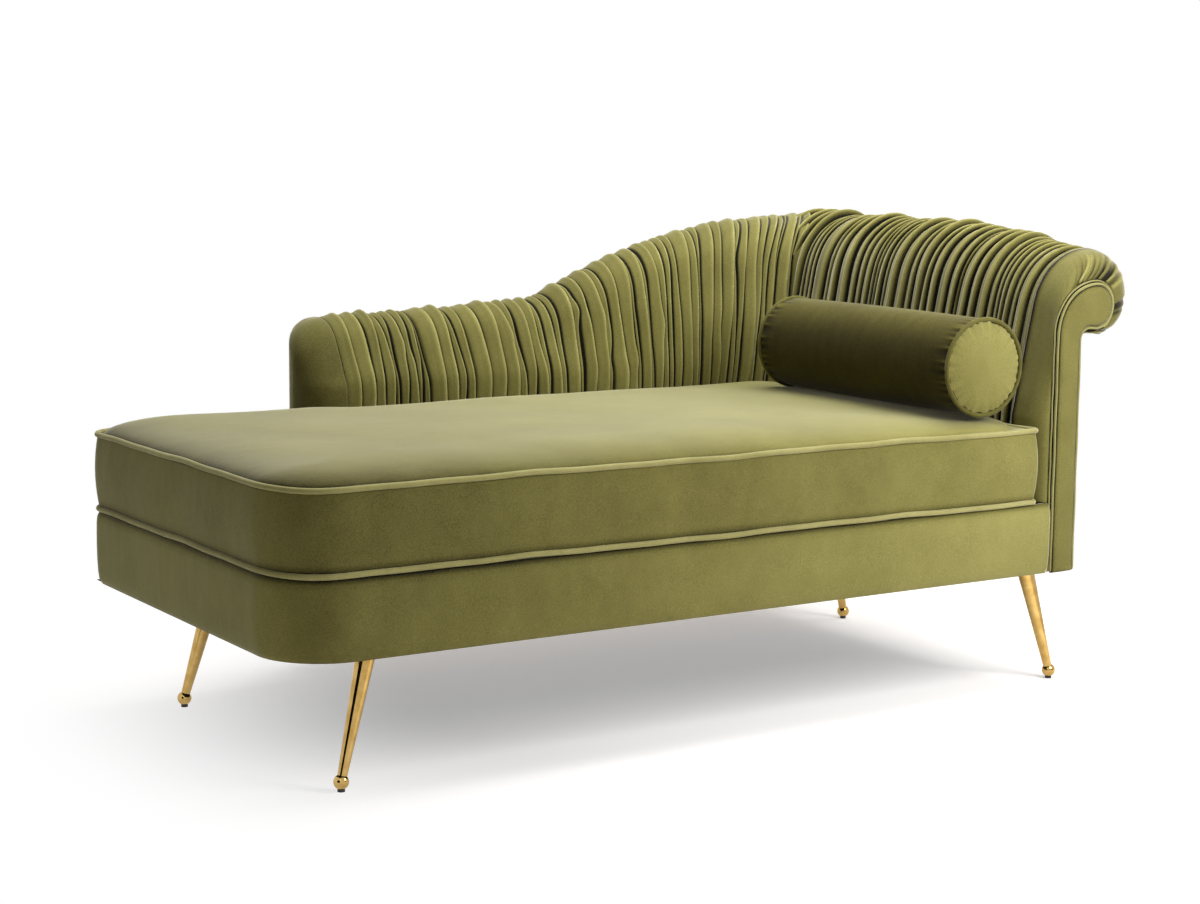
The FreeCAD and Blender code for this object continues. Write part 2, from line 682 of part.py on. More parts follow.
def base_cover():
    """The upholstered skin of the base: front, foot end and the rear as far as the back."""
    height = size["base_height"]
    lip = size["lip"]
    length = size["arm_outer"] + size["foot_radius"]
    wires = [chain(seat_plan(inset, inset, length), at_z(size["leg_height"] + share * height))
             for share, inset in BASE_PROFILE]
    form = Part.makeLoft(wires, True, True)
    inner = seat_prism(size["skin"], size["leg_height"] - PAST, size["frame_top"] + size["rest_gap"],
                       length)
    well = seat_prism(lip, size["frame_top"], size["deck_top"] + PAST, length)
    front_end = size["panel_inner"] - 2 * size["edge_welt_radius"] - 2 * size["rest_gap"]
    far = V(length, size["back_rear"], size["deck_top"])
    beyond_front = Part.makeBox(far.x, far.y, far.z, V(front_end, -PAST, PAST))
    beyond_rear = Part.makeBox(far.x, far.y, far.z,
                               V(size["back_start"] - PAST, size["seat_depth"] / 2, PAST))
    keep_shape("base_cover", form.cut([inner, well, beyond_front, beyond_rear]))


def dust_cover(holes):
    """Thin cloth under the frame, between the leg plates and the blocks."""
    inset = size["skin"] + size["rest_gap"]
    sheet = tool_shape("dust_sheet", seat_prism(inset, size["frame_bottom"] - size["cloth"],
                                                size["frame_bottom"], size["arm_outer"] + inset))
    keep_shifted(cut("dust_cover", sheet, holes), "dust_cover")


# Seat cushion: foam core, boxed cover with a soft crown, two welts
def cushion_levels():
    """Heights of the cushion's sections with their insets, from its underside to its crown."""
    draw, rise, run = size["side_draw"], size["crown_rise"], size["crown_run"]
    low, high = size["lower_welt"], size["upper_welt"]
    span = high - low
    levels = [(size["cushion_bottom"], 3 * draw)]
    levels += [(low + span * share, draw * (2 * share - 1) ** 2) for share in SIDE_SHARES]
    levels += [(high + rise * math.sin(math.radians(turn)), draw + run * (1 - math.cos(math.radians(turn))))
               for turn in CROWN_TURNS]
    return levels


def cushion_form(grow, upright_gap):
    """The cushion as a filled solid, cut where the back stands."""
    wires = []
    lift = max(-grow, 0)
    levels = cushion_levels()
    low, high = levels[0][0] + lift, levels[-1][0] - lift
    for z, inset in levels:
        share = (z - levels[0][0]) / (levels[-1][0] - levels[0][0])
        steps = seat_plan(inset - grow, inset / 2 - grow, size["seat_length"])
        wires.append(chain(steps, at_z(low + share * (high - low))))
    form = Part.makeLoft(wires, True, True)
    upright = back_foot_print(upright_gap, size["frame_top"], size["arm_top_height"])
    return form.cut(upright)


def cushion_welt(radius, level):
    """A welt round the foot, the front and the head, from the back to the back."""
    inset = size["welt_radius"]
    front = size["foot_radius"] - inset
    rear = size["rear_radius"] - inset
    head = size["head_radius"] - inset
    x0, y0 = inset, inset
    x1, y1 = size["seat_length"] - inset, size["seat_depth"] - inset
    start = size["back_start"] - size["back_thickness"] / 2 - size["welt_radius"]
    steps = [
        (start, y1), (x0 + rear, y1),
        (on_bearing((x0 + rear, y1 - rear), rear, 135), (x0, y1 - rear)), (x0, y0 + front),
        (on_bearing((x0 + front, y0 + front), front, 225), (x0 + front, y0)), (x1 - head, y0),
        (on_bearing((x1 - head, y0 + head), head, -45), (x1, y0 + head)),
        (x1, size["back_face"] - size["welt_radius"]),
    ]
    return tube(steps, at_z(level), radius, V(-1, 0, 0))


def seat_cushion():
    """Core, cover and the two welts of the loose seat cushion."""
    grooves = [cushion_welt(size["welt_radius"] + size["rest_gap"], size[level])
               for level in ("lower_welt", "upper_welt")]
    core = cushion_form(-size["cushion_skin"], size["loose_gap"] + size["cushion_skin"])
    hollow = cushion_form(-size["cushion_skin"] + size["rest_gap"],
                          size["loose_gap"] + size["cushion_skin"] - size["rest_gap"])
    keep_shape("cushion_core", core)
    keep_shape("cushion_cover", cushion_form(0, size["loose_gap"]).cut([hollow] + grooves))
    keep_shape("cushion_welt_bottom", cushion_welt(size["welt_radius"], size["lower_welt"]))
    keep_shape("cushion_welt_top", cushion_welt(size["welt_radius"], size["upper_welt"]))


# Scroll arm: plywood ribs, rails, foam, pleated cover, front band and panel
def arm_frame():
    """Three ribs and the rails between them."""
    back_off = -(size["cover_thickness"] + size["pad_thickness"])
    rib = size["rib_thickness"]
    front, middle = size["front_rib_set_in"], size["mid_rib_at"]
    for label, place in (("arm_front_rib", front), ("arm_mid_rib", middle)):
        keep_shape(label, arm_solid(back_off, place, place + rib, size["arm_outer"], size["frame_top"]))
    keep_shape("arm_rear_rib", arm_solid(-size["cover_thickness"] - size["rest_gap"],
                                         size["rear_rib_front"], size["frame_rear"], size["arm_outer"],
                                         size["frame_bottom"] + size["plank_height"]))
    inner = "arm_inner + cover_thickness + pad_thickness"
    sections = {
        "outer": (("arm_outer - rail_thickness", "arm_outer"),
                  ("arm_lean_start + rail_set_up", "arm_lean_start + rail_set_up + plank_height")),
        "tack": ((inner, "arm_outer"), ("deck_top + rail_set_up", "deck_top + rail_set_up + plank_height")),
    }
    spans = (("front_rib_set_in + rib_thickness", "mid_rib_at"),
             ("mid_rib_at + rib_thickness", "rear_rib_front"))
    rails = [block("arm_rail_%s_%d" % (name, index), along, span, level)
             for name, (along, level) in sections.items() for index, span in enumerate(spans)]
    keep_shifted(group("arm_rails", rails), "arm_rails")
    poles = [roll_pole(front + rib, middle), roll_pole(middle + rib, size["rear_rib_front"])]
    keep_shape("arm_roll_poles", Part.makeCompound(poles))


def roll_pole(front, rear):
    """A round pole that carries the roll between two ribs and follows the arm's crown line."""
    drop_end = size["band_rear"] + size["arm_drop_run"]
    stations = [y for y in between(size["band_rear"], drop_end, DROP_RUNS) if front < y < rear]
    rings = [Part.Wire(Part.makeCircle(size["roll_pole_radius"],
                                       V(size["arm_crown"], y, arm_top(y) - size["arm_roll_radius"]),
                                       V(0, 1, 0)))
             for y in [front] + stations + [rear]]
    return Part.makeLoft(rings, True, True)


def arm_padding():
    """Foam over the ribs and the pleated cover over the foam."""
    gap, thick = size["rest_gap"], size["cover_thickness"]
    front, rear = size["band_rear"], size["frame_rear"]
    outer, bottom = size["arm_outer"], size["pad_bottom"]
    inner = -(thick + size["pad_thickness"]) + gap
    pad = arm_solid(-thick - gap, front + gap, size["rear_rib_front"] - gap, outer, bottom)
    keep_shape("arm_pad", pad.cut(arm_solid(inner, front - PAST, rear, outer + PAST_OUTER,
                                               bottom - PAST)))
    wires = [chain(faceted(arm_section(y, offset, outer, bottom)), at_y(y))
             for y, offset in pleat_stations(front + gap, rear)]
    skin = Part.makeLoft(wires, True, True)
    hollow = arm_solid(-thick, front - PAST, rear + PAST, outer + PAST_OUTER, bottom - PAST)
    keep_shape("arm_pleated_cover", skin.cut(hollow))
    rear_end = rear + size["back_cloth"]
    steps = [(size["panel_thickness"] + gap, size["leg_height"]), (rear_end, size["leg_height"])]
    drop_end = front + size["arm_drop_run"]
    for y in [rear_end] + between(drop_end, front + gap, DROP_RUNS):
        steps.append((y, arm_section(y, 0, outer, bottom)[-2][1][1] + size["tuck_radius"] / 2))
    under_panel = size["panel_top_height"] - 2 * size["panel_roll_radius"] - 2 * size["tuck_radius"]
    under_roll = arm_top(front) - 2 * size["arm_roll_radius"] - size["tuck_radius"] / 2
    under_band = min(under_panel, under_roll)
    steps += [(front + gap, under_band), (size["panel_thickness"] + gap, under_band)]
    keep_shape("arm_outer_cover", slab(steps, at_x(outer), V(size["arm_cloth"], 0, 0)))


def panel_section(offset, outer, bottom, fold):
    """Outline of the arm's front panel in (x, z), grown by an offset."""
    inner = size["panel_inner"] - offset
    crown_x = size["panel_inner"] + size["panel_top_radius"]
    return scroll(inner, crown_x, size["panel_top_height"] + offset, size["panel_top_radius"] + offset,
                  size["panel_roll_radius"] + offset, outer, size["arm_lean_start"], fold, bottom)


def arm_front():
    """The rounded band at the arm's front, the scroll panel and the welt round it."""
    gap, radius = size["rest_gap"], size["edge_welt_radius"]
    front, rear = size["panel_thickness"] + gap, size["band_rear"]
    grow = 2 * radius + gap
    wires = []
    for turn in BAND_TURNS:
        share = 1 - math.cos(math.radians(turn))
        y = rear - (rear - front) * math.sin(math.radians(turn))
        full = (size["arm_inner"], size["arm_crown"], arm_top(rear), size["arm_top_radius"],
                size["arm_roll_radius"])
        small = (size["panel_inner"] - grow, size["panel_inner"] + size["panel_top_radius"],
                 size["panel_top_height"] + grow, size["panel_top_radius"] + grow,
                 size["panel_roll_radius"] + grow)
        mixed = [big + (little - big) * share for big, little in zip(full, small)]
        steps = scroll(*mixed, size["arm_outer"], size["arm_lean_start"], size["tuck_radius"],
                       size["pad_bottom"])
        wires.append(chain(steps, at_y(y)))
    inside = arm_solid(-(size["cover_thickness"] + size["pad_thickness"]) + gap,
                       size["front_rib_set_in"] - gap, rear + PAST, size["arm_outer"] + PAST_OUTER,
                       size["frame_top"] - PAST)
    corner = Part.makeBox(size["panel_inner"] - grow, size["lip"] + gap, size["deck_top"] + gap)
    keep_shape("arm_front_band", Part.makeLoft(wires, True, True).cut([inside, corner]))
    outline = panel_section(0, size["panel_outer"], size["leg_height"], size["tuck_radius"])
    keep_shape("arm_front_panel", slab(outline, at_y(0), V(0, size["panel_thickness"], 0)))
    out = radius + gap
    path = panel_section(out, size["panel_outer"] + out, size["leg_height"] + radius,
                         size["tuck_radius"] - out)
    keep_shape("arm_front_welt", tube(path, at_y(radius), radius, V(0, 0, 1)))


# Swoop back: posts, rails, board, foam, pleated cover, rounded foot end, rear panel, welts
def back_frame():
    """Bottom rail, posts, board and the shaped top rail."""
    keep_block("back_bottom_rail", ("back_start", "arm_outer"), ("seat_frame_rear", "frame_rear"),
               ("frame_bottom", "frame_bottom + plank_height"))
    first, last = size["back_start"], BACK_FAR
    drop = size["top_pad"] + size["rest_gap"]
    outline = tool_shape("post_outline", back_silhouette(first, last, drop, size["frame_bottom"],
                                                         size["board_front"], size["frame_rear"]))
    posts = []
    reach = "(arm_inner - back_start - post_width - 2 * post_set_in)"
    for index in range(4):
        start = "back_start + post_set_in + %s * %d / 3" % (reach, index)
        posts.append(block("post_%d" % index, (start, start + " + post_width"),
                           ("board_front + rest_gap + board", "rear_rib_front"),
                           ("frame_bottom + plank_height", "arm_top_height")))
    keep_shifted(common("back_posts", group("post_blanks", posts), outline), "back_posts")
    board_front = size["board_front"] + size["rest_gap"]
    board = back_silhouette(first, last, drop, size["pad_bottom"], board_front, board_front + size["board"])
    keep_shape("back_board", board.cut(ARM_SPACE))
    deep = sweep_steps(first, last, drop + size["top_rail_depth"])
    rail = back_silhouette(first, last, drop, size["frame_top"], size["rear_rib_front"], size["frame_rear"])
    below = slab(deep + [(last, size["frame_bottom"]), (first, size["frame_bottom"])],
                 at_y(size["rear_rib_front"] - PAST), V(0, size["back_thickness"], 0))
    keep_shape("back_top_rail", rail.cut([below, ARM_SPACE]))


def back_padding():
    """Foam and the pleated cover, both shaped round the arm where they meet it."""
    gap, thick = size["rest_gap"], size["cover_thickness"]
    first, last = size["back_start"], BACK_FAR
    bottom, rear = size["pad_bottom"], size["frame_rear"]
    pad = back_solid(-thick - gap, first, last, rear - gap, bottom)
    core = back_silhouette(first - PAST, last, size["top_pad"], bottom - PAST, size["board_front"],
                           rear + PAST)
    keep_shape("back_pad", pad.cut([core, ARM_SPACE]))
    wires = [chain(faceted(back_section(x, offset, size["back_rear"], bottom)), at_x(x))
             for x, offset in pleat_stations(first, last)]
    skin = Part.makeLoft(wires, True, True)
    hollow = back_solid(-thick, first - PAST, last + PAST, rear, bottom - PAST)
    hem = back_silhouette(first - PAST, last + PAST, size["back_lip"], bottom - PAST, rear - PAST,
                          size["back_rear"] + PAST)
    keep_shape("back_pleated_cover", skin.cut([hollow, hem, ARM_SPACE]))


def end_form(offset, bottom):
    """The back's rounded foot end as a filled solid: a half round in plan that falls away at the top."""
    half = size["back_thickness"] / 2 + offset
    start = size["back_start"] - size["rest_gap"]
    crown = back_top(start) + offset
    wires = []
    for turn in END_TURNS:
        turn = math.radians(turn)
        width = half * math.cos(turn)
        middle = size["back_middle"]
        top_radius = (size["back_top_radius"] + offset) * math.cos(turn)
        edge = max(size["back_edge_radius"] + offset, size["least_end_edge"]) * math.cos(turn)
        crown_y = middle - width + (size["back_crown_out"] + offset) * math.cos(turn)
        steps = back_profile(middle - width, crown_y, crown - size["back_end_drop"] * (1 - math.cos(turn)),
                             top_radius, middle + width, edge, size["end_lean_start"], bottom)
        wires.append(chain(steps, at_x(start - half * math.sin(turn))))
    return Part.makeLoft(wires, True, True)


def back_end():
    """Foam and plain cover of the rounded foot end, with its lower part behind the base."""
    gap = size["rest_gap"]
    above_seat = Part.makeBox(size["back_start"], size["seat_depth"] + gap, size["deck_top"] + gap)
    inner = end_form(-size["cover_thickness"], size["leg_height"] - PAST)
    cover = end_form(0, size["leg_height"]).cut([inner, above_seat])
    keep_shape("back_end_cover", cover)
    pad = end_form(-size["cover_thickness"] - gap, size["frame_bottom"])
    keep_shape("back_end_pad", pad.cut(above_seat))


def back_rear():
    """The plain rear panel, which also closes the arm's rear end, and the welts along its edge."""
    gap, radius = size["rest_gap"], size["edge_welt_radius"]
    front, thick = size["frame_rear"], size["back_cloth"]
    room = (radius + gap) / math.cos(math.radians(SWEEP["steep"]))
    drop = size["back_lip"] + 2 * room
    inset = radius + size["rear_edge_room"]
    back = back_silhouette(size["back_start"], BACK_FAR - size["arm_roll_radius"], drop, size["leg_height"],
                           front, front + thick)
    arm = slab(arm_section(front, -inset - radius - gap, size["arm_outer"], size["leg_height"]),
               at_y(front), V(0, thick, 0))
    keep_shape("back_outer_cover", back.fuse(arm).removeSplitter())
    welt_drop = size["back_lip"] + room
    steps = arm_section(front, -inset, size["arm_outer"], size["leg_height"])
    reach = size["arm_top_radius"] - inset
    centre = (size["arm_crown"], size["arm_top_height"] - size["arm_top_radius"])
    meet = centre[0]
    for _ in range(6):
        height = back_top(meet) - welt_drop - centre[1]
        meet = centre[0] - math.sqrt(reach ** 2 - height ** 2)
    first = (meet, back_top(meet) - welt_drop)
    start_turn = math.degrees(math.atan2(first[1] - centre[1], first[0] - centre[0]))
    crown = (centre[0], centre[1] + reach)
    path = [first, (on_bearing(centre, reach, (start_turn + 90) / 2), crown)] + steps[4:7]
    start_normal = on_bearing((0, 0), 1, start_turn - 90)
    level = front + radius
    keep_shape("arm_rear_welt", tube(path, at_y(level), radius, V(start_normal[0], 0, start_normal[1])))
    along = sweep_steps(size["back_start"], meet - 2 * radius, welt_drop)
    slope = V(math.cos(SLOPE), 0, math.sin(SLOPE))
    keep_shape("back_welt", tube(along, at_y(level), radius, slope))


# Bolster: a round cushion that lies on the seat in front of the arm
BOLSTER_X = "seat_length - bolster_from_head"
BOLSTER_Z = "cushion_crown + bolster_radius + bolster_lift"


def bolster_rod(name, radius, start, length):
    """A cylinder on the bolster's axis."""
    cylinder = doc.addObject("Part::Cylinder", name)
    bind(cylinder, Radius=radius, Height=length)
    cylinder.Placement.Rotation = FreeCAD.Rotation(V(1, 0, 0), -90)
    return bind_place(cylinder, BOLSTER_X, "bolster_front + (%s)" % start, BOLSTER_Z)


def bolster_barrel():
    """The bolster's outer form, fullest in the middle and drawn in to the welts at its ends."""
    body = doc.addObject("PartDesign::Body", "bolster_barrel")
    sketch = body.newObject("Sketcher::SketchObject", "barrel_profile")
    plane = [feature for feature in body.Origin.OriginFeatures if feature.Role == "XY_Plane"][0]
    sketch.AttachmentSupport = (plane, "")
    sketch.MapMode = "FlatFace"
    end, length = size["bolster_end_radius"], size["bolster_length"] - 2 * size["bolster_welt"]
    bulge = size["bolster_radius"] - end
    radius = (bulge ** 2 + length ** 2 / 4) / (2 * bulge)
    turn = math.asin(length / 2 / radius)
    circle = Part.Circle(V(size["bolster_radius"] - radius, length / 2, 0), V(0, 0, 1), radius)
    sketch.addGeometry([
        Part.LineSegment(V(0, 0, 0), V(end, 0, 0)), Part.ArcOfCircle(circle, -turn, turn),
        Part.LineSegment(V(end, length, 0), V(0, length, 0)), Part.LineSegment(V(0, length, 0), V(0, 0, 0))])
    corners = [(0, 2, 1, 1), (1, 2, 2, 1), (2, 2, 3, 1), (3, 2, 0, 1), (0, 1, -1, 1)]
    for first, first_end, second, second_end in corners:
        sketch.addConstraint(Sketcher.Constraint("Coincident", first, first_end, second, second_end))
    for kind, index in (("Horizontal", 0), ("Horizontal", 2), ("Vertical", 3)):
        sketch.addConstraint(Sketcher.Constraint(kind, index))
    measures = [
        (Sketcher.Constraint("Distance", 0, end), "bolster_end_radius"),
        (Sketcher.Constraint("Distance", 3, length), "bolster_length - 2 * bolster_welt"),
        (Sketcher.Constraint("Radius", 1, radius),
         "((bolster_radius - bolster_end_radius) ^ 2 + (bolster_length - 2 * bolster_welt) ^ 2 / 4)"
         " / (2 * (bolster_radius - bolster_end_radius))"),
    ]
    for constraint, formula in measures:
        index = sketch.addConstraint(constraint)
        sketch.setExpression("Constraints[%d]" % index, linked(formula))
    turned = body.newObject("PartDesign::Revolution", "barrel_turned")
    turned.Profile = sketch
    turned.ReferenceAxis = (sketch, ["V_Axis"])
    turned.Angle = 360
    body.Tip = turned
    return bind_place(body, BOLSTER_X, "bolster_front + bolster_welt", BOLSTER_Z)


def bolster():
    """Core, cover, two end discs and two welts."""
    end = "bolster_end_thickness"
    grooves = []
    for side, start in (("front", "0"), ("rear", "bolster_length - " + end)):
        label = "bolster_%s_end" % side
        disc = bolster_rod(label + "_disc", "bolster_end_radius - bolster_welt - rest_gap", start, end)
        keep_shifted(group(label + "_group", [disc]), label)
        middle = "bolster_welt" if side == "front" else "bolster_length - bolster_welt"
        label = "bolster_%s_welt" % side
        keep_shifted(group(label + "_group", [bolster_ring(label + "_ring", "bolster_welt", middle)]), label)
        grooves.append(bolster_ring(label + "_groove", "bolster_welt + rest_gap", middle))
    core = bolster_rod("bolster_filling", "bolster_radius - bolster_skin - rest_gap", end + " + rest_gap",
                       "bolster_length - 2 * bolster_end_thickness - 2 * rest_gap")
    keep_shifted(group("bolster_core_group", [core]), "bolster_core")
    hollow = bolster_rod("bolster_hollow", "bolster_radius - bolster_skin", end,
                         "bolster_length - 2 * bolster_end_thickness")
    seats = [bolster_rod("bolster_seat_" + side, "bolster_end_radius - bolster_welt", start, end)
             for side, start in (("front", "0"), ("rear", "bolster_length - " + end))]
    room = fuse("bolster_room", [hollow] + seats + grooves)
    keep_shifted(cut("bolster_cover", bolster_barrel(), room), "bolster_cover")


def bolster_ring(name, radius, start):
    """A ring round one end of the bolster."""
    ring = doc.addObject("Part::Torus", name)
    bind(ring, Radius1="bolster_end_radius", Radius2=radius)
    ring.Placement.Rotation = FreeCAD.Rotation(V(1, 0, 0), -90)
    return bind_place(ring, BOLSTER_X, "bolster_front + (%s)" % start, BOLSTER_Z)


def check_and_export():
    """Recomputes, checks every object and writes one file for each sub-part."""
    doc.recompute()
    for obj in doc.Objects:
        if "Invalid" in obj.State or "Error" in obj.State:
            raise RuntimeError("%s: %s" % (obj.Label, obj.State))
    for part in sub_parts:
        if part.Shape.isNull() or not part.Shape.isValid() or not part.Shape.Solids:
            raise RuntimeError("%s has no valid solid" % part.Label)
    os.makedirs("parts", exist_ok=True)
    for part in sub_parts:
        part.Shape.exportStep("parts/%s.step" % part.Label)
    print("%d sub-parts" % len(sub_parts))


base_rails()
cross_rails()
holes_tool = fasteners()
leg_blocks(holes_tool)
head_rail(holes_tool)
leg_plates(holes_tool)
legs()
webbing()
deck()
base_cover()
dust_cover(holes_tool)
seat_cushion()
arm_frame()
arm_padding()
arm_front()
back_frame()
back_padding()
back_end()
back_rear()
bolster()
check_and_export()
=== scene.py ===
"""Chaise longue in olive velvet: the finished look built round the fixed frame, laid out as an add-on.

Forms are worked out in a bench frame in metres: x from the foot end to the head end, y from the
front to the back, z up from the floor. ORIGIN moves them to the frame of the part.
"""
import math

import bpy
import numpy as np
from mathutils import Matrix, Vector


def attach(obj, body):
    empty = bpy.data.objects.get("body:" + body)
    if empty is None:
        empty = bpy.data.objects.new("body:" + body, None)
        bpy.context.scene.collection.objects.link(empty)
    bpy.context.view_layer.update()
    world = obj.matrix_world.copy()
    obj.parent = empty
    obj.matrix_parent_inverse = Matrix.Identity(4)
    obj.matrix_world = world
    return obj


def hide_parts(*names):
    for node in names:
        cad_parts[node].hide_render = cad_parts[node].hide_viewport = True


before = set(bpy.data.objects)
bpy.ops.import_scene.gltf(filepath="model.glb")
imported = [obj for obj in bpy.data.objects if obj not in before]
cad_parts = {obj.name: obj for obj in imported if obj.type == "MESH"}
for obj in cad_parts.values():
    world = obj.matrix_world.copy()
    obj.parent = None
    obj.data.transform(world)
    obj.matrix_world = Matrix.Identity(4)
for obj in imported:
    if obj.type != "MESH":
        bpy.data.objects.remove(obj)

bl_info = {
    "name": "Velvet chaise longue",
    "version": (1, 0, 0),
    "blender": (4, 5, 0),
    "location": "View3D > Sidebar > Chaise",
    "description": "Builds the upholstery, the finishes and the studio round a chaise longue's frame",
    "category": "Object",
}

# Sizes in metres, as in the part's own source
SEAT_LENGTH, SEAT_DEPTH = 1.352, 0.728
LEG_HEIGHT, DECK_TOP = 0.200, 0.317
FOOT_RADIUS, REAR_RADIUS, HEAD_RADIUS = 0.110, 0.036, 0.014
LOWER_WELT, UPPER_WELT, WELT_RADIUS = 0.32205, 0.44005, 0.00475
CUSHION_BOTTOM, CROWN_RISE, CROWN_RUN, SIDE_DRAW = 0.3173, 0.025, 0.150, 0.006
ARM_INNER, ARM_OUTER, ARM_CROWN = 1.353, 1.433, 1.503
ARM_TOP, ARM_DROP, ARM_DROP_RUN = 0.763, 0.035, 0.400
ARM_TOP_RADIUS, ARM_ROLL_RADIUS, ARM_LEAN_START = 0.113, 0.070, 0.457
TUCK, FOLD_RADIUS, FRONT_FOLD = 5.5, 0.012, 0.022
BAND_FRONT, BAND_REAR = 0.0083, 0.075
PANEL_INNER, PANEL_TOP, PANEL_THICKNESS = 1.385, 0.673, 0.008
PANEL_TOP_RADIUS, PANEL_ROLL_RADIUS = 0.080, 0.034
EDGE_WELT = 0.004
BACK_START, BACK_FACE, BACK_REAR = 0.437, 0.695, 0.830
FRAME_REAR, BACK_MIDDLE = 0.822, 0.7625
BACK_TOP_RADIUS, BACK_CROWN_OUT, BACK_EDGE, BACK_LEAN_START = 0.075, 0.105, 0.012, 0.500
BACK_END_DROP, BACK_LIP = 0.060, 0.016
CROWN_LOW, CROWN_HIGH = (0.437, 0.5986), (1.386, 0.756)
CROWN_SLOPE, DIP_RADIUS, RISE_RADIUS = 2.1, 0.220, 1.210
BOLSTER_X, BOLSTER_Z, BOLSTER_FRONT, BOLSTER_LENGTH = 1.254, 0.54475, 0.033, 0.510
BOLSTER_RADIUS, BOLSTER_END, BOLSTER_WELT = 0.080, 0.078, 0.0035
ORIGIN = np.array([(ARM_CROWN + ARM_ROLL_RADIUS) / 2, BACK_REAR / 2, 0])
GAP = 0.0003
SKIN, COVER = 0.008, 0.004
LIP_UNDER, LIP_INSET = 0.3063, 0.012
DECK_UNDER, DECK_INSET = 0.3088, 0.0125
CLOTH_TOP, CLOTH_UNDER, CLOTH_INSET = 0.203, 0.202, 0.0083
INTO_ARM = 0.009
BESIDE_BACK_END = (0.36, 0.44)

# Points along an arc, sides of a cord, sums in a slow wave, rounds that soften a section's corners
ARC_POINTS, CORD_SIDES, WAVE_ORDERS, EASING = 60, 14, 3, 24
# How far a cord's ring shrinks at its end and next to it
END_SHRINK = (0.45, 0.85)
# Width of the drawn grain of the pile, on the covers and on thin piping
PILE, PIPING_PILE = 0.0020, 0.0009


# Outlines: lines and arcs as dense points, read off again at even shares of their length
def even(count):
    """Even shares from 0 to 1."""
    return np.linspace(0, 1, count)


def on_circle(centre, radius, degrees):
    """The point of a circle at a bearing."""
    turn = math.radians(degrees)
    return (centre[0] + radius * math.cos(turn), centre[1] + radius * math.sin(turn))


def arc(centre, radius, start, end):
    """Points of a circle from one bearing to another."""
    turns = np.radians(np.linspace(start, end, ARC_POINTS))
    return np.column_stack([centre[0] + radius * np.cos(turns), centre[1] + radius * np.sin(turns)])


def run(*points):
    """Points of a chain of straight lines, close enough together to read lengths from."""
    points = np.array(points, float)
    shares = np.linspace(0, len(points) - 1, 40 * (len(points) - 1) + 1)
    index = np.arange(len(points))
    return np.column_stack([np.interp(shares, index, points[:, axis]) for axis in (0, 1)])


def read_off(pieces, shares):
    """Points of joined pieces at shares of their whole length."""
    points = np.vstack(pieces)
    along = np.concatenate([[0], np.cumsum(np.hypot(*np.diff(points, axis=0).T))])
    at = np.asarray(shares) * along[-1]
    return np.column_stack([np.interp(at, along, points[:, axis]) for axis in (0, 1)])


def directions(points, closed):
    """The way ahead at each point of a path, from differences of its neighbours."""
    if closed:
        return np.roll(points, -1, axis=-2) - np.roll(points, 1, axis=-2)
    return np.gradient(points, axis=-2)


def left_normals(points, closed=False):
    """Unit normals on the left of a path of (u, w) points."""
    ahead = directions(points, closed)
    normal = np.stack([-ahead[..., 1], ahead[..., 0]], axis=-1)
    return normal / np.maximum(np.linalg.norm(normal, axis=-1, keepdims=True), 1e-9)


def soft_step(value, start, end):
    """Smooth rise from 0 at start to 1 at end."""
    share = np.clip((value - start) / (end - start), 0, 1)
    return share * share * (3 - 2 * share)


def waves(seed, rows, count, amplitude):
    """Rows of slow wavy lines: sums of sines with seeded phases over shares 0 to 1."""
    rng = np.random.default_rng(seed)
    shares = even(count)
    total = np.zeros((rows, count))
    for order in range(1, WAVE_ORDERS + 1):
        phase = rng.uniform(0, 2 * math.pi, (rows, 1))
        height = rng.uniform(0.3, 1, (rows, 1)) / order
        total += height * np.sin(2 * math.pi * order * 0.7 * shares + phase)
    return amplitude * total / WAVE_ORDERS


# Meshes from grids
def grid_faces(columns, rows, wrap_columns=False, wrap_rows=False):
    """Quads of a grid whose points are numbered column by column."""
    across = columns if wrap_columns else columns - 1
    along = rows if wrap_rows else rows - 1
    a, b = np.meshgrid(np.arange(across), np.arange(along), indexing="ij")
    here = a * rows + b
    right = ((a + 1) % columns) * rows + b
    up = a * rows + (b + 1) % rows
    both = ((a + 1) % columns) * rows + (b + 1) % rows
    return np.stack([here, right, both, up], axis=-1).reshape(-1, 4)


def walls(levels):
    """Quads between rings of point numbers, from each ring to the next."""
    return [quad for low, high in zip(levels[:-1], levels[1:])
            for quad in np.stack([low, np.roll(low, -1), np.roll(high, -1), high], axis=-1).tolist()]


def new_piece(name, points, faces, finish):
    """An object from bench-frame points and faces, turned so that its volume is positive."""
    points = np.asarray(points, float).reshape(-1, 3) - ORIGIN
    mesh = bpy.data.meshes.new(name)
    mesh.from_pydata(points.tolist(), [], [list(map(int, face)) for face in faces])
    mesh.validate()
    mesh.update()
    mesh.calc_loop_triangles()
    corners = np.empty(len(mesh.loop_triangles) * 3, np.int32)
    mesh.loop_triangles.foreach_get("vertices", corners)
    spots = np.empty(len(mesh.vertices) * 3)
    mesh.vertices.foreach_get("co", spots)
    triangle = spots.reshape(-1, 3)[corners.reshape(-1, 3)]
    if np.einsum("ij,ij->i", triangle[:, 0], np.cross(triangle[:, 1], triangle[:, 2])).sum() < 0:
        mesh.flip_normals()
    mesh.polygons.foreach_set("use_smooth", np.ones(len(mesh.polygons), bool))
    piece = bpy.data.objects.new(name, mesh)
    bpy.context.scene.collection.objects.link(piece)
    mesh.materials.append(finish_of(finish))
    return piece


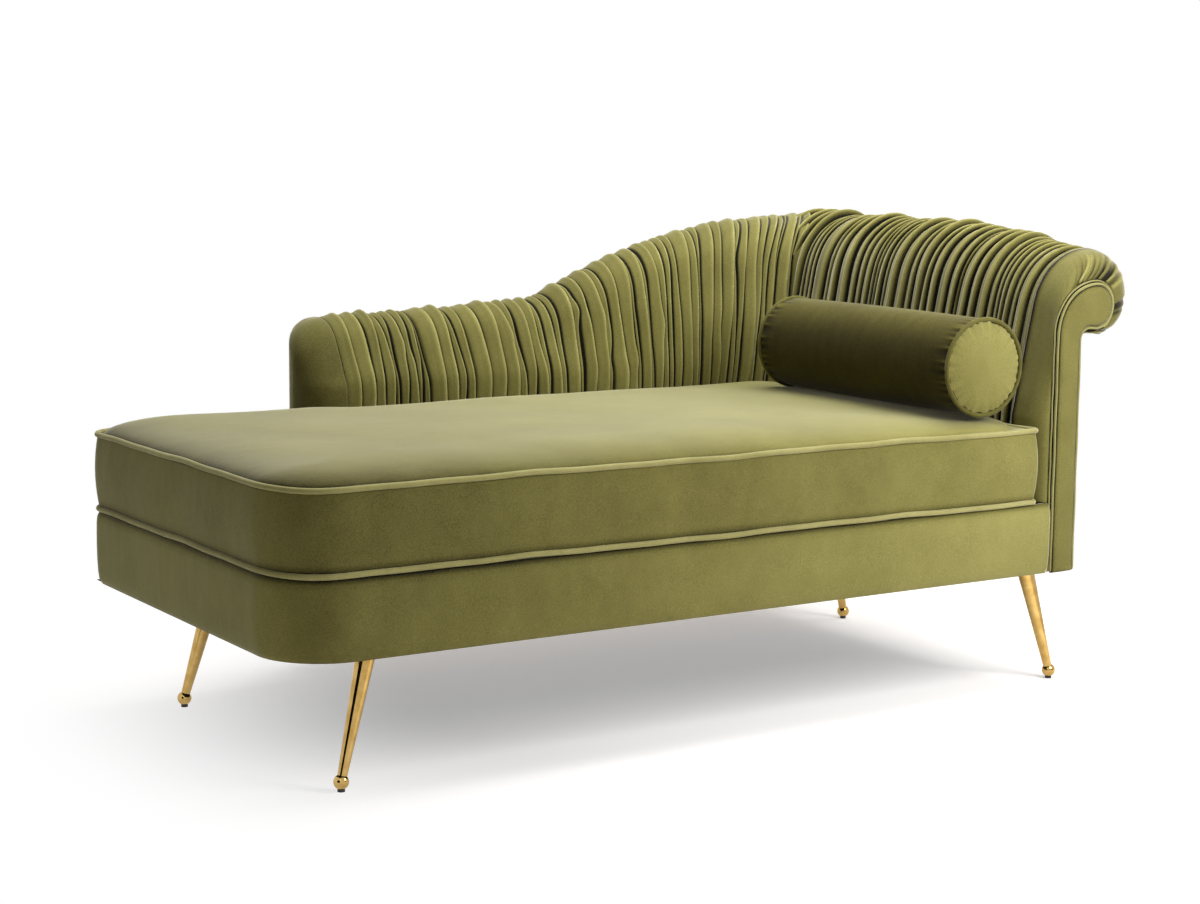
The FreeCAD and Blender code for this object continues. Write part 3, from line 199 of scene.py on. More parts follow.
def loft(name, points, finish):
    """A skin over sections, points[station, place], closed round each section and capped at its ends."""
    columns, rows = points.shape[:2]
    faces = grid_faces(columns, rows, wrap_rows=True).tolist()
    faces.append(list(range(rows)))
    faces.append(list(range((columns - 1) * rows, columns * rows))[::-1])
    piece = new_piece(name, points, faces, finish)
    for cap in (-1, -2):
        piece.data.polygons[cap].use_smooth = False
    return piece


def bearings(sides):
    """Even bearings round a circle, in radians."""
    return 2 * math.pi * np.arange(sides) / sides


def tube(name, path, radius, finish, closed=False):
    """A round cord along 3D points: rings square to the path, carried along without twist."""
    path = np.asarray(path, float)
    ahead = directions(path, closed)
    ahead /= np.linalg.norm(ahead, axis=1, keepdims=True)
    spans = ahead.max(axis=0) - ahead.min(axis=0)
    reference = np.eye(3)[int(np.argmin(spans + np.abs(ahead).max(axis=0)))]
    side = np.cross(ahead, reference)
    side /= np.linalg.norm(side, axis=1, keepdims=True)
    other = np.cross(side, ahead)
    turns = bearings(CORD_SIDES)[None, :, None]
    size = np.broadcast_to(np.asarray(radius, float), (len(path),))[:, None, None]
    rings = path[:, None] + size * (np.cos(turns) * side[:, None] + np.sin(turns) * other[:, None])
    if closed:
        return new_piece(name, rings, grid_faces(len(path), CORD_SIDES, True, True).tolist(), finish)
    shrink = np.ones(len(path))
    shrink[[0, -1]], shrink[[1, -2]] = END_SHRINK
    return loft(name, path[:, None] + (rings - path[:, None]) * shrink[:, None, None], finish)


def in_x(points, x):
    """Section points (y, z) put at x."""
    x = np.broadcast_to(x, points.shape[:-1])
    return np.stack([x, points[..., 0], points[..., 1]], axis=-1)


def in_y(points, y):
    """Section points (x, z) put at y."""
    y = np.broadcast_to(y, points.shape[:-1])
    return np.stack([points[..., 0], y, points[..., 1]], axis=-1)


def in_z(points, z):
    """Plan points (x, y) put at z."""
    z = np.broadcast_to(z, points.shape[:-1])
    return np.stack([points[..., 0], points[..., 1], z], axis=-1)


def about_bolster(radii, places, sides):
    """Points round the bolster's axis: radii[place, side] at places along y."""
    radii, places = np.broadcast_arrays(radii, places)
    turns = bearings(sides)
    return in_y(np.stack([BOLSTER_X + radii * np.cos(turns), BOLSTER_Z + radii * np.sin(turns)], axis=-1),
                places)


# Sections of the arm, the panel and the back
def lean_angle(rise, reach, radius):
    """Degrees from upright of a line tangent to a circle, whose centre is rise over it and reach beside."""
    return math.degrees(math.acos(min(radius / math.hypot(reach, rise), 1)) - math.atan2(rise, reach))


def scroll(inner, crown_x, crown_z, top_radius, roll_radius, outer, fold, bottom):
    """Up the inner face, over the top on a large arc, round the roll, back along its underside, down."""
    top = (crown_x, crown_z - top_radius)
    roll = (crown_x, crown_z - roll_radius)
    lean = lean_angle(top[1] - ARM_LEAN_START, crown_x - inner, top_radius)
    under = on_circle(roll, roll_radius, -90 - TUCK)
    fold_x = outer + fold
    tuck = math.radians(TUCK)
    fold_z = under[1] + (under[0] - fold_x) * math.tan(tuck) - fold / math.cos(tuck)
    return [
        run((inner, bottom), (inner, ARM_LEAN_START), on_circle(top, top_radius, 180 - lean)),
        arc(top, top_radius, 180 - lean, 90), arc(roll, roll_radius, 90, -90 - TUCK),
        arc((fold_x, fold_z), fold, 90 - TUCK, 180), run((outer, fold_z), (outer, bottom)),
    ]


def arm_top(y):
    """Height of the arm's crown at y: it falls towards the front on a parabola."""
    reach = np.clip((y - BAND_REAR) / ARM_DROP_RUN, 0, 1)
    return ARM_TOP - ARM_DROP * (1 - reach) ** 2


def arm_section(y, grow=0.0, bottom=DECK_TOP):
    """The arm's section at y."""
    return scroll(ARM_INNER - grow, ARM_CROWN, float(arm_top(y)) + grow, ARM_TOP_RADIUS + grow,
                  ARM_ROLL_RADIUS + grow, ARM_OUTER, FOLD_RADIUS, bottom)


def panel_section(grow, outer, fold, bottom):
    """The outline of the arm's front panel."""
    return scroll(PANEL_INNER - grow, PANEL_INNER + PANEL_TOP_RADIUS, PANEL_TOP + grow,
                  PANEL_TOP_RADIUS + grow, PANEL_ROLL_RADIUS + grow, outer, fold, bottom)


def crown_arcs():
    """Ends and centres of the dip and the rise of the back's crown line, tangent to two slopes."""
    slope = math.radians(CROWN_SLOPE)
    apart = ((CROWN_HIGH[1] - CROWN_LOW[1]) * math.cos(slope)
             - (CROWN_HIGH[0] - CROWN_LOW[0]) * math.sin(slope))
    turn = math.acos(1 - apart / (DIP_RADIUS + RISE_RADIUS))
    reach = (DIP_RADIUS + RISE_RADIUS) * math.sin(turn)
    start = (CROWN_HIGH[0] - reach * math.cos(slope) + apart * math.sin(slope),
             CROWN_HIGH[1] - reach * math.sin(slope) - apart * math.cos(slope))
    dip = on_circle(start, DIP_RADIUS, CROWN_SLOPE + 90)
    rise = on_circle(CROWN_HIGH, RISE_RADIUS, CROWN_SLOPE - 90)
    middle = on_circle(dip, DIP_RADIUS, CROWN_SLOPE + math.degrees(turn) - 90)
    return start, middle, dip, rise


def back_top(x):
    """Height of the back's crown line: a low line, a dip, a rise and a high line."""
    start, middle, dip, rise = crown_arcs()
    x = np.asarray(x, float)
    slope = math.tan(math.radians(CROWN_SLOPE))
    in_dip = dip[1] - np.sqrt(np.maximum(DIP_RADIUS ** 2 - (x - dip[0]) ** 2, 0))
    in_rise = rise[1] + np.sqrt(np.maximum(RISE_RADIUS ** 2 - (x - rise[0]) ** 2, 0))
    return np.select([x <= start[0], x <= middle[0], x <= CROWN_HIGH[0]],
                     [start[1] + (x - start[0]) * slope, in_dip, in_rise],
                     CROWN_HIGH[1] + (x - CROWN_HIGH[0]) * slope)


def back_profile(face, crown_y, crown_z, top_radius, rear, edge, lean_start, bottom, lip):
    """The back's section in (y, z): up the face, over the top, down the rear as far as the lip."""
    centre = (crown_y, crown_z - top_radius)
    lean = lean_angle(centre[1] - lean_start, crown_y - face, top_radius)
    edge_centre = (rear - edge, crown_z - edge)
    return [
        run((face, bottom), (face, lean_start), on_circle(centre, top_radius, 180 - lean)),
        arc(centre, top_radius, 180 - lean, 90), arc(edge_centre, edge, 90, 0),
        run((rear, edge_centre[1]), (rear, lip)),
    ]


def back_section(x):
    """The back's section at x."""
    crown = float(back_top(x))
    return back_profile(BACK_FACE, BACK_FACE + BACK_CROWN_OUT, crown, BACK_TOP_RADIUS, BACK_REAR, BACK_EDGE,
                        BACK_LEAN_START, DECK_TOP, crown - BACK_LIP)


def section_table(section, stations, shares):
    """Points and outward normals of a section at each station. Its corners are softened: each point
    moves towards the middle of its two neighbours, EASING times."""
    points = np.array([read_off(section(station), shares) for station in stations])
    for _ in range(EASING):
        points[:, 1:-1] += 0.5 * (0.5 * (points[:, :-2] + points[:, 2:]) - points[:, 1:-1])
    return points, left_normals(points)


def mixed(table, stations, at):
    """Rows of a table at any station, mixed from the two nearest."""
    index = np.clip(np.searchsorted(stations, at) - 1, 0, len(stations) - 2)
    share = ((at - stations[index]) / (stations[index + 1] - stations[index]))[..., None]
    rows = np.arange(table.shape[1])
    return table[index, rows] * (1 - share) + table[index + 1, rows] * share


# A knife pleat across its width: a slow rise, a rounded nose that overhangs, a deep narrow crease
PLEAT_ACROSS = np.array([0, 0.08, 0.16, 0.24, 0.33, 0.50, 0.66, 0.77, 0.87, 0.95, 1.00, 1.01, 1.00])
PLEAT_RISE = np.array([0, 0.10, 0.36, 0.48, 0.57, 0.68, 0.77, 0.89, 1.0, 0.95, 0.75, 0.40, 0.04])
# Painted light and shade across a pleat: a painted highlight along the nose, where the pile is also crushed
# pale, painted shade in the crease and a little over the body
PLEAT_PAINTED_LIGHT = np.array([-0.1, -0.1, -0.1, -0.1, -0.1, -0.08, -0.05, 0.18, 0.42, 0.30, -0.3, -1.2, -1.5])


# How far pleats stand over their skin where they stand proud, as a share of their depth
PROUD = 0.42


def pleat_edges(start, end, count, rows, seed, spread, sway):
    """Edges of irregular pleats, edges[pleat, row]: seeded widths and a slow sway along each edge."""
    rng = np.random.default_rng(seed)
    widths = rng.uniform(1 - spread, 1 + spread, count) * np.linspace(1.25, 0.85, count)
    shares = np.concatenate([[0], np.cumsum(widths)]) / widths.sum()
    edges = start + (end - start) * shares[:, None] + np.zeros((1, rows))
    pitch = abs(end - start) / count
    drift = waves(seed + 1, count + 1, rows, sway * pitch)
    kinks = rng.uniform(-1, 1, (count + 1, 1)) * (rng.uniform(0, 1, (count + 1, 1)) < 0.35)
    centre = rng.uniform(0.35, 0.75, (count + 1, 1))
    bump = np.exp(-((even(rows) - centre) / 0.05) ** 2)
    drift = drift + kinks * bump * 0.30 * pitch
    drift[0] = drift[-1] = 0
    return edges + drift


def pleats(edges, depth, seed):
    """Places across, heights and painted light and shade of pleats on a grid: each edge pair carries the
    pleat's profile.
    """
    count, rows = edges.shape[0] - 1, edges.shape[1]
    width = edges[1:] - edges[:-1]
    across = edges[:-1, None] + width[:, None] * PLEAT_ACROSS[None, :, None]
    own = np.clip(1 + waves(seed, count, rows, 0.75), 0.35, 1.5)
    narrow = np.clip(np.abs(width) / np.abs(width).mean(), 0.55, 1.2)
    heights = depth * own[:, None] * narrow[:, None] * PLEAT_RISE[None, :, None]
    from_crease = np.abs(across - edges[:-1, None])
    # Painted shadow in the crease, dark for 3.4 mm from it and gone by 6.6 mm, where the next fold's crest
    # stands over it
    painted_crease_shade = 1.4 * (1 - soft_step(from_crease, 0.0034, 0.0066)) * (PLEAT_ACROSS < 0.6)[None, :, None]
    shade = PLEAT_PAINTED_LIGHT[None, :, None] * np.clip(1 + waves(seed + 2, count, rows, 1.0), 0.75, 1.25)[:, None]
    shade = shade - painted_crease_shade
    return across.reshape(-1, rows), heights.reshape(-1, rows), shade.reshape(-1, rows)


def pleated(table, stations, edges, depth, seed, proud_from, fade):
    """Places across, section points, normals, heights and painted light and shade of a skin of pleats. Their
    crests lie level with the skin, stand proud of it above the levels in proud_from, and fade along the
    section."""
    across, heights, shade = pleats(edges, depth, seed)
    at = np.clip(across, stations[0], stations[-1])
    points, normals = [mixed(values, stations, at) for values in table]
    proud = PROUD * soft_step(points[..., 1], *proud_from)
    return across, points, normals, (heights - (1 - proud) * depth) * fade, shade


def paint_light_and_shade(piece, shade):
    """Stores painted light and shade at each point, for the velvet to read: above 0 paler, below 0 darker."""
    attribute = piece.data.attributes.new("painted_light_and_shade", "FLOAT", "POINT")
    attribute.data.foreach_set("value", np.ascontiguousarray(shade, np.float32).ravel())
    return piece


# Materials
def linear(hex_colour):
    """An sRGB hex colour as linear RGBA."""
    parts = [int(hex_colour[index:index + 2], 16) / 255 for index in (1, 3, 5)]
    return [part / 12.92 if part <= 0.04045 else ((part + 0.055) / 1.055) ** 2.4 for part in parts] + [1]


def add_node(tree, kind, settings=None, **links):
    """A node with its settings, and its named or numbered inputs set or linked."""
    node = tree.nodes.new(kind)
    for name, value in (settings or {}).items():
        setattr(node, name, value)
    for name, value in links.items():
        key = int(name[1:]) if name[0] == "i" and name[1:].isdigit() else name.replace("_", " ")
        socket = node.inputs[key]
        if isinstance(value, bpy.types.NodeSocket):
            tree.links.new(value, socket)
        else:
            socket.default_value = value
    return node


def scaled(tree, value, by, plus):
    """A value times a number, plus a number or another value."""
    settings = {"operation": "MULTIPLY_ADD"}
    return add_node(tree, "ShaderNodeMath", settings, i0=value, i1=by, i2=plus).outputs[0]


def noise(tree, place, scale, detail, **links):
    """Values of a noise about 1 / scale metres wide."""
    return add_node(tree, "ShaderNodeTexNoise", Vector=place, Scale=scale, Detail=detail, **links).outputs[0]


def seen_by(tree, *rays):
    """1 where one of these kinds of ray looks, else 0."""
    paths = add_node(tree, "ShaderNodeLightPath").outputs
    seen = paths["Is %s Ray" % rays[0]]
    for ray in rays[1:]:
        seen = add_node(tree, "ShaderNodeMath", {"operation": "MAXIMUM"}, i0=seen,
                        i1=paths["Is %s Ray" % ray]).outputs[0]
    return seen


def blank(name):
    """A material with an empty node tree, and the place on the object in metres."""
    material = bpy.data.materials.new(name)
    material.use_nodes = True
    tree = material.node_tree
    tree.nodes.clear()
    return material, tree, add_node(tree, "ShaderNodeTexCoord").outputs["Object"]


def finished(material, shader):
    """Links a shader to the output of its material."""
    add_node(material.node_tree, "ShaderNodeOutputMaterial", i0=shader.outputs[0])
    return material


def principled(material, **inputs):
    """A material finished with the general shader."""
    return finished(material, add_node(material.node_tree, "ShaderNodeBsdfPrincipled", **inputs))


def ramp(tree, factor, stops):
    """A colour ramp with stops of (place, hex colour)."""
    node = add_node(tree, "ShaderNodeValToRGB", i0=factor)
    elements = node.color_ramp.elements
    while len(elements) < len(stops):
        elements.new(0.5)
    for element, (place, colour) in zip(elements, stops):
        element.position = place
        element.color = linear(colour)
    return node.outputs[0]


def velvet(name, low, mid, high, sheen, nap=PILE):
    """Cotton velvet: a short dense pile. It gives a dull body, a pale sheen at grazing angles and
    cloudy patches where the nap lies another way. The pile itself, about 0.3 mm, is too fine to show,
    so its grain is drawn nap metres wide."""
    material, tree, place = blank(name)
    cloud = noise(tree, place, 7.0, 4.0, Roughness=0.6)
    brushed = add_node(tree, "ShaderNodeMapping", Vector=place, Scale=(14, 30, 9)).outputs[0]
    patches = scaled(tree, cloud, 0.24, -0.12)
    value = add_node(tree, "ShaderNodeMath", {"operation": "ADD"}, i0=patches,
                     i1=scaled(tree, noise(tree, brushed, 2.0, 3.0), 0.12, 0.43))
    grain = noise(tree, place, 1 / nap, 2.0)
    # Light and shade painted on each piece's points: above 0 a painted highlight, below 0 painted shade
    painted_light = add_node(tree, "ShaderNodeAttribute", {"attribute_name": "painted_light_and_shade"}).outputs["Fac"]
    tone_with_painted_light = scaled(tree, painted_light, 0.42, scaled(tree, grain, 0.34, value.outputs[0]))
    # The darkest and palest stops take the painted shade of creases and seams and the painted highlights of
    # fold noses
    stops = [(0.16, "#141208"), (0.44, low), (0.66, mid), (0.88, high), (0.98, "#cbc79a")]
    colour = ramp(tree, tone_with_painted_light, stops)
    bump = add_node(tree, "ShaderNodeBump", Strength=0.22, Distance=nap / 2, Height=grain)
    soft = add_node(tree, "ShaderNodeBump", Strength=0.25, Distance=0.004, Height=cloud,
                    Normal=bump.outputs[0])
    return principled(material, Base_Color=colour, Roughness=0.88, Normal=soft.outputs[0],
                      Specular_IOR_Level=0.12, Sheen_Weight=sheen, Sheen_Roughness=0.30,
                      Sheen_Tint=linear("#f6f2dc"))


def polished_gold():
    """Brass-plated steel, turned and polished. It mirrors the studio with a warm yellow tint, with
    faint turning rings about 0.6 mm apart."""
    material, tree, place = blank("gold_plated_steel")
    rings = add_node(tree, "ShaderNodeTexWave", {"bands_direction": "Z"}, Vector=place, Scale=260.0,
                     Distortion=0.4)
    smear = noise(tree, place, 60.0, 3.0)
    bump = add_node(tree, "ShaderNodeBump", Strength=0.04, Distance=0.0002, Height=rings.outputs["Fac"])
    return principled(material, Base_Color=ramp(tree, smear, [(0.35, "#b3904f"), (0.65, "#c7a767")]),
                      Metallic=1.0, Roughness=scaled(tree, smear, 0.08, 0.05), Normal=bump.outputs[0])


def plain_material(name, dark, light, scale_mm, roughness, stretch=(1, 1, 1), metallic=0.0):
    """A finish with a noise grain of a real size: two colours, its roughness and a little relief."""
    material, tree, place = blank(name)
    drawn = add_node(tree, "ShaderNodeMapping", Vector=place, Scale=stretch).outputs[0]
    grain = noise(tree, drawn, 1000 / scale_mm, 4.0)
    relief = add_node(tree, "ShaderNodeBump", Strength=0.2, Distance=scale_mm / 4000, Height=grain)
    return principled(material, Base_Color=ramp(tree, grain, [(0.35, dark), (0.68, light)]),
                      Metallic=metallic, Roughness=roughness, Normal=relief.outputs[0])


def woven(name, dark, light, thread_mm):
    """A plain weave: two crossed bands of threads, seen as a small check with relief."""
    material, tree, place = blank(name)
    warp, weft = [add_node(tree, "ShaderNodeTexWave", {"bands_direction": way}, Vector=place,
                           Scale=1000 / thread_mm / 20, Distortion=0.3).outputs["Fac"] for way in "XY"]
    cross = add_node(tree, "ShaderNodeMath", {"operation": "MULTIPLY"}, i0=warp, i1=weft).outputs[0]
    relief = add_node(tree, "ShaderNodeBump", Strength=0.3, Distance=thread_mm / 4000, Height=cross)
    return principled(material, Base_Color=ramp(tree, cross, [(0.1, dark), (0.8, light)]), Roughness=0.9,
                      Normal=relief.outputs[0])


def finish_of(name):
    """A material made once and then shared."""
    if name not in made_finishes:
        made_finishes[name] = FINISHES[name]()
    return made_finishes[name]


def cloth_colours():
    """The velvet's three colours from the panel's settings."""
    look = bpy.context.scene.chaise_look
    return look.velvet_low, look.velvet_mid, look.velvet_high, look.sheen


FINISHES = {
    "velvet": lambda: velvet("olive_cotton_velvet", *cloth_colours()),
    # The bolster's velvet is a darker copy of the olive velvet, painted shade over its body; the two pipings
    # are paler copies, a painted sheen highlight on the round cord; the bolster's piping is a darker copy,
    # painted shade
    "bolster_velvet_painted_shade": lambda: velvet("olive_velvet_bolster_painted_shade", "#2a2608", "#453f14", "#666024", 0.30),
    "piping": lambda: velvet("olive_velvet_piping_painted_sheen", "#6f6b3d", "#958f5b", "#bbb683", 1.0, PIPING_PILE),
    "seam_piping": lambda: velvet("olive_velvet_thin_piping_painted_sheen", "#625e33", "#8a8551", "#b1ac7a", 1.0,
                                  PIPING_PILE),
    "bolster_piping": lambda: velvet("olive_velvet_bolster_piping_painted_shade", "#3a3613", "#5b5627", "#85804a", 0.8,
                                     PIPING_PILE),
    "gold": polished_gold,
    "timber": lambda: plain_material("sawn_beech", "#b58a55", "#d3ad78", 9, 0.65, (0.12, 1, 1)),
    "plywood": lambda: plain_material("birch_plywood", "#c09a62", "#dcbd8b", 6, 0.6, (1, 0.2, 1)),
    "steel": lambda: plain_material("zinc_plated_steel", "#9a9c9d", "#c2c4c4", 2, 0.38, metallic=1.0),
    "webbing": lambda: woven("jute_webbing", "#6f5a3a", "#a88f62", 2.0),
    "dust_cloth": lambda: woven("black_dust_cloth", "#17181a", "#2c2d30", 1.0),
    "deck_cloth": lambda: woven("calico_deck_cloth", "#8c8552", "#aaa470", 1.0),
    "nylon": lambda: plain_material("moulded_nylon", "#1b1c1d", "#2a2b2d", 1.5, 0.45),
    "foam": lambda: plain_material("polyurethane_foam", "#d8c78f", "#ecdfb2", 1.2, 0.95),
}
made_finishes = {}


def seat(piece, body, slot, *nodes, fill=None):
    """Puts a piece on its body and hides the frame's nodes that it stands for; its slot is not used."""
    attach(piece, body)
    if nodes:
        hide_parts(*nodes)
    return piece


# Seat plan: four sides that meet in the middle of the rounded corners
def seat_sides():
    """Front, head, rear and foot sides of the cushion's plan, anticlockwise, as lists of pieces."""
    front, rear, head = FOOT_RADIUS, REAR_RADIUS, HEAD_RADIUS
    gap = 0.0005
    x1, y1 = SEAT_LENGTH, BACK_FACE - gap
    foot_front, foot_rear = (front, front), (rear, SEAT_DEPTH - rear)
    head_front, head_rear = (x1 - head, head), (x1 - head, y1 - head)
    end, radius = (BACK_START, BACK_MIDDLE), BACK_REAR - BACK_MIDDLE + gap
    meet = 180 + math.degrees(math.asin((BACK_MIDDLE - SEAT_DEPTH) / radius))
    return [
        [arc(foot_front, front, 225, 270), run((front, 0), (x1 - head, 0)), arc(head_front, head, 270, 315)],
        [arc(head_front, head, 315, 360), run((x1, head), (x1, y1 - head)), arc(head_rear, head, 0, 45)],
        [arc(head_rear, head, 45, 90), run((x1 - head, y1), (BACK_START, y1)), arc(end, radius, 270, meet),
         run(on_circle(end, radius, meet), (rear, SEAT_DEPTH)), arc(foot_rear, rear, 90, 135)],
        [arc(foot_rear, rear, 135, 180), run((0, SEAT_DEPTH - rear), (0, front)),
         arc(foot_front, front, 180, 225)],
    ]


def ring_of(sides, columns, rows):
    """Evenly spread points round four sides, as many as the edge of a grid of columns and rows has."""
    counts = (columns, rows, columns, rows)
    return np.vstack([read_off(side, even(count))[:-1] for side, count in zip(sides, counts)])


def patch_in(ring, columns, rows):
    """Fills a ring of a grid's edge points with a Coons patch: both rulings less the corners' share."""
    c, r = columns - 1, rows - 1
    front = ring[:c + 1]
    head = ring[c:c + r + 1]
    rear = ring[c + r:2 * c + r + 1][::-1]
    foot = np.vstack([ring[2 * c + r:], ring[:1]])[::-1]
    u, v = even(columns)[:, None, None], even(rows)[None, :, None]
    ruled = (1 - v) * front[:, None] + v * rear[:, None] + (1 - u) * foot[None] + u * head[None]
    corners = ((1 - u) * (1 - v) * front[0] + u * (1 - v) * front[-1]
               + (1 - u) * v * rear[0] + u * v * rear[-1])
    return ruled - corners


def ring_indices(columns, rows):
    """Numbers of a grid's edge points in the order of the ring."""
    index = np.arange(columns * rows).reshape(columns, rows)
    return np.concatenate([index[:-1, 0], index[-1, :-1], index[:0:-1, -1], index[0, :0:-1]])


def filled(high, low, columns, rows, between=()):
    """Points and faces of a solid from its top and underside as grids, with rings of the wall between."""
    count, edge = columns * rows, ring_indices(columns, rows)
    rings = [2 * count + len(edge) * level + np.arange(len(edge)) for level in range(len(between))]
    grid = grid_faces(columns, rows)
    faces = grid.tolist() + (grid[:, ::-1] + count).tolist() + walls([count + edge, *rings, edge])
    return np.vstack([high.reshape(-1, 3), low.reshape(-1, 3), *between]), faces


def flat_cloth(name, ring, columns, rows, levels, finish):
    """A flat cloth with a real thickness between two levels."""
    plan = patch_in(ring, columns, rows)
    points, faces = filled(in_z(plan, levels[0]), in_z(plan, levels[1]), columns, rows)
    return new_piece(name, points, faces, finish)


def crown_height(plan):
    """Rise of the cushion's top over its edge: a quarter ellipse of the distance from each side, joined
    by a power mean so that the corners are round, with two slow swells. In the round corner the
    distance is the radius less the distance from the corner's centre."""
    x, y = plan[..., 0], plan[..., 1]
    rear = BACK_FACE + (SEAT_DEPTH - BACK_FACE) * (1 - soft_step(x, *BESIDE_BACK_END))
    short_x, short_y = np.maximum(FOOT_RADIUS - x, 0), np.maximum(FOOT_RADIUS - y, 0)
    corner = FOOT_RADIUS - np.hypot(short_x, short_y)
    beyond = ((x - SIDE_DRAW) ** -3.0 + (y - SIDE_DRAW) ** -3.0) ** (-1 / 3)
    share = soft_step(np.maximum(x, y), FOOT_RADIUS * 0.8, FOOT_RADIUS * 1.6)
    foot = np.where((short_x > 0) & (short_y > 0), corner - SIDE_DRAW, np.minimum(x, y) - SIDE_DRAW)
    foot = np.maximum(foot * (1 - share) + np.minimum(beyond, foot) * share, 0)
    distances = [foot + SIDE_DRAW, SEAT_LENGTH - x, 2 * (rear - y)]
    short = sum(np.clip(1 - (d - SIDE_DRAW) / CROWN_RUN, 0, 1) ** 3 for d in distances)
    rise = CROWN_RISE * np.sqrt(np.clip(1 - np.clip(short, 0, 1) ** (2 / 3), 0, 1))
    swell = 0.0011 * np.sin(9 * x + 1.3) * np.sin(11 * y + 0.4) + 0.0006 * np.sin(23 * x + 17 * y)
    return rise + swell * rise / CROWN_RISE


class CHAISE_OT_seat_cushion(bpy.types.Operator):
    """Boxed seat cushion: crowned top, drawn-in sides and a welt round both seams"""
    bl_idname = "chaise.seat_cushion"
    bl_label = "Seat cushion"

    def execute(self, context):
        columns, rows = 190, 96
        ring = ring_of(seat_sides(), columns, rows)
        outward = -left_normals(ring, closed=True)
        shares = even(18)
        heights = LOWER_WELT + (UPPER_WELT - LOWER_WELT) * shares
        insets = SIDE_DRAW * (2 * shares - 1) ** 2
        along = np.arange(len(ring)) / len(ring)
        ripple = 0.0008 * np.sin(2 * math.pi * 9 * along) + 0.0005 * np.sin(2 * math.pi * 23 * along + 1)
        wall = [in_z(ring - outward * (inset + ripple[:, None] * 4 * share * (1 - share)), height)
                for share, height, inset in zip(shares, heights, insets)]
        plan = np.clip(patch_in(wall[-1][:, :2], columns, rows), SIDE_DRAW + 1e-4, None)
        rise = crown_height(plan)
        low = in_z(patch_in(ring - outward * (3 * SIDE_DRAW), columns, rows), CUSHION_BOTTOM)
        points, faces = filled(in_z(plan, UPPER_WELT + rise), low, columns, rows, wall[:-1])
        cushion = new_piece("seat_cushion", points, faces, "velvet")
        paint_light_and_shade(cushion, self.cushion_painted_light(points, rise.ravel(), ring_indices(columns, rows)))
        seat(cushion, "seat_cushion", "velvet", "cushion_cover", "cushion_core", fill=0.8)
        for name, level in (("bottom", LOWER_WELT), ("top", UPPER_WELT)):
            welt = tube("cushion_piping_" + name, self.welt_path(level), 0.9 * WELT_RADIUS, "piping")
            seat(welt, "seat_cushion", "piping", "cushion_welt_" + name)
        return {"FINISHED"}

    @staticmethod
    def cushion_painted_light(points, rise, edge):
        """Painted light and shade on the cushion: paler towards the head and on top, painted shade down the
        crown's slope, at the seams and low on the wall, a painted highlight where the wall faces the light at
        the foot."""
        count = len(rise)
        x, z = points[:, 0], points[:, 2]
        painted_light = 0.42 * x / SEAT_LENGTH - 0.38
        painted_light[:count] += 0.36 + 0.08 * x[:count] / SEAT_LENGTH
        slope = np.clip(1 - rise / CROWN_RISE, 0, 1) ** 0.8
        painted_light[:count] -= (0.95 - 0.75 * x[:count] / SEAT_LENGTH) * slope
        painted_light[edge] -= 0.3
        painted_light[2 * count:] += 0.30 * np.exp(-(x[2 * count:] / 0.03) ** 2)
        painted_light[2 * count:] -= 0.8 * np.exp(-((z[2 * count:] - LOWER_WELT) / 0.008) ** 2)
        return painted_light

    @staticmethod
    def welt_path(level):
        """The welt's centre line: round the foot, the front and the head, from back to back."""
        r = WELT_RADIUS
        front, rear, head = FOOT_RADIUS - r, REAR_RADIUS - r, HEAD_RADIUS - r
        x0, x1, y1 = r, SEAT_LENGTH - r, SEAT_DEPTH - r
        start = BACK_START - (BACK_REAR - BACK_MIDDLE) - r
        pieces = [run((start, y1), (x0 + rear, y1)), arc((x0 + rear, y1 - rear), rear, 90, 180),
                  run((x0, y1 - rear), (x0, r + front)), arc((x0 + front, r + front), front, 180, 270),
                  run((x0 + front, r), (x1 - head, r)), arc((x1 - head, r + head), head, -90, 0),
                  run((x1, r + head), (x1, BACK_FACE - r))]
        plan = read_off(pieces, even(620))
        along = even(len(plan))
        wander = 0.0009 * np.sin(31 * along) + 0.0005 * np.sin(83 * along + 1) + 0.0004 * np.sin(140 * along)
        return in_z(plan, level + wander)


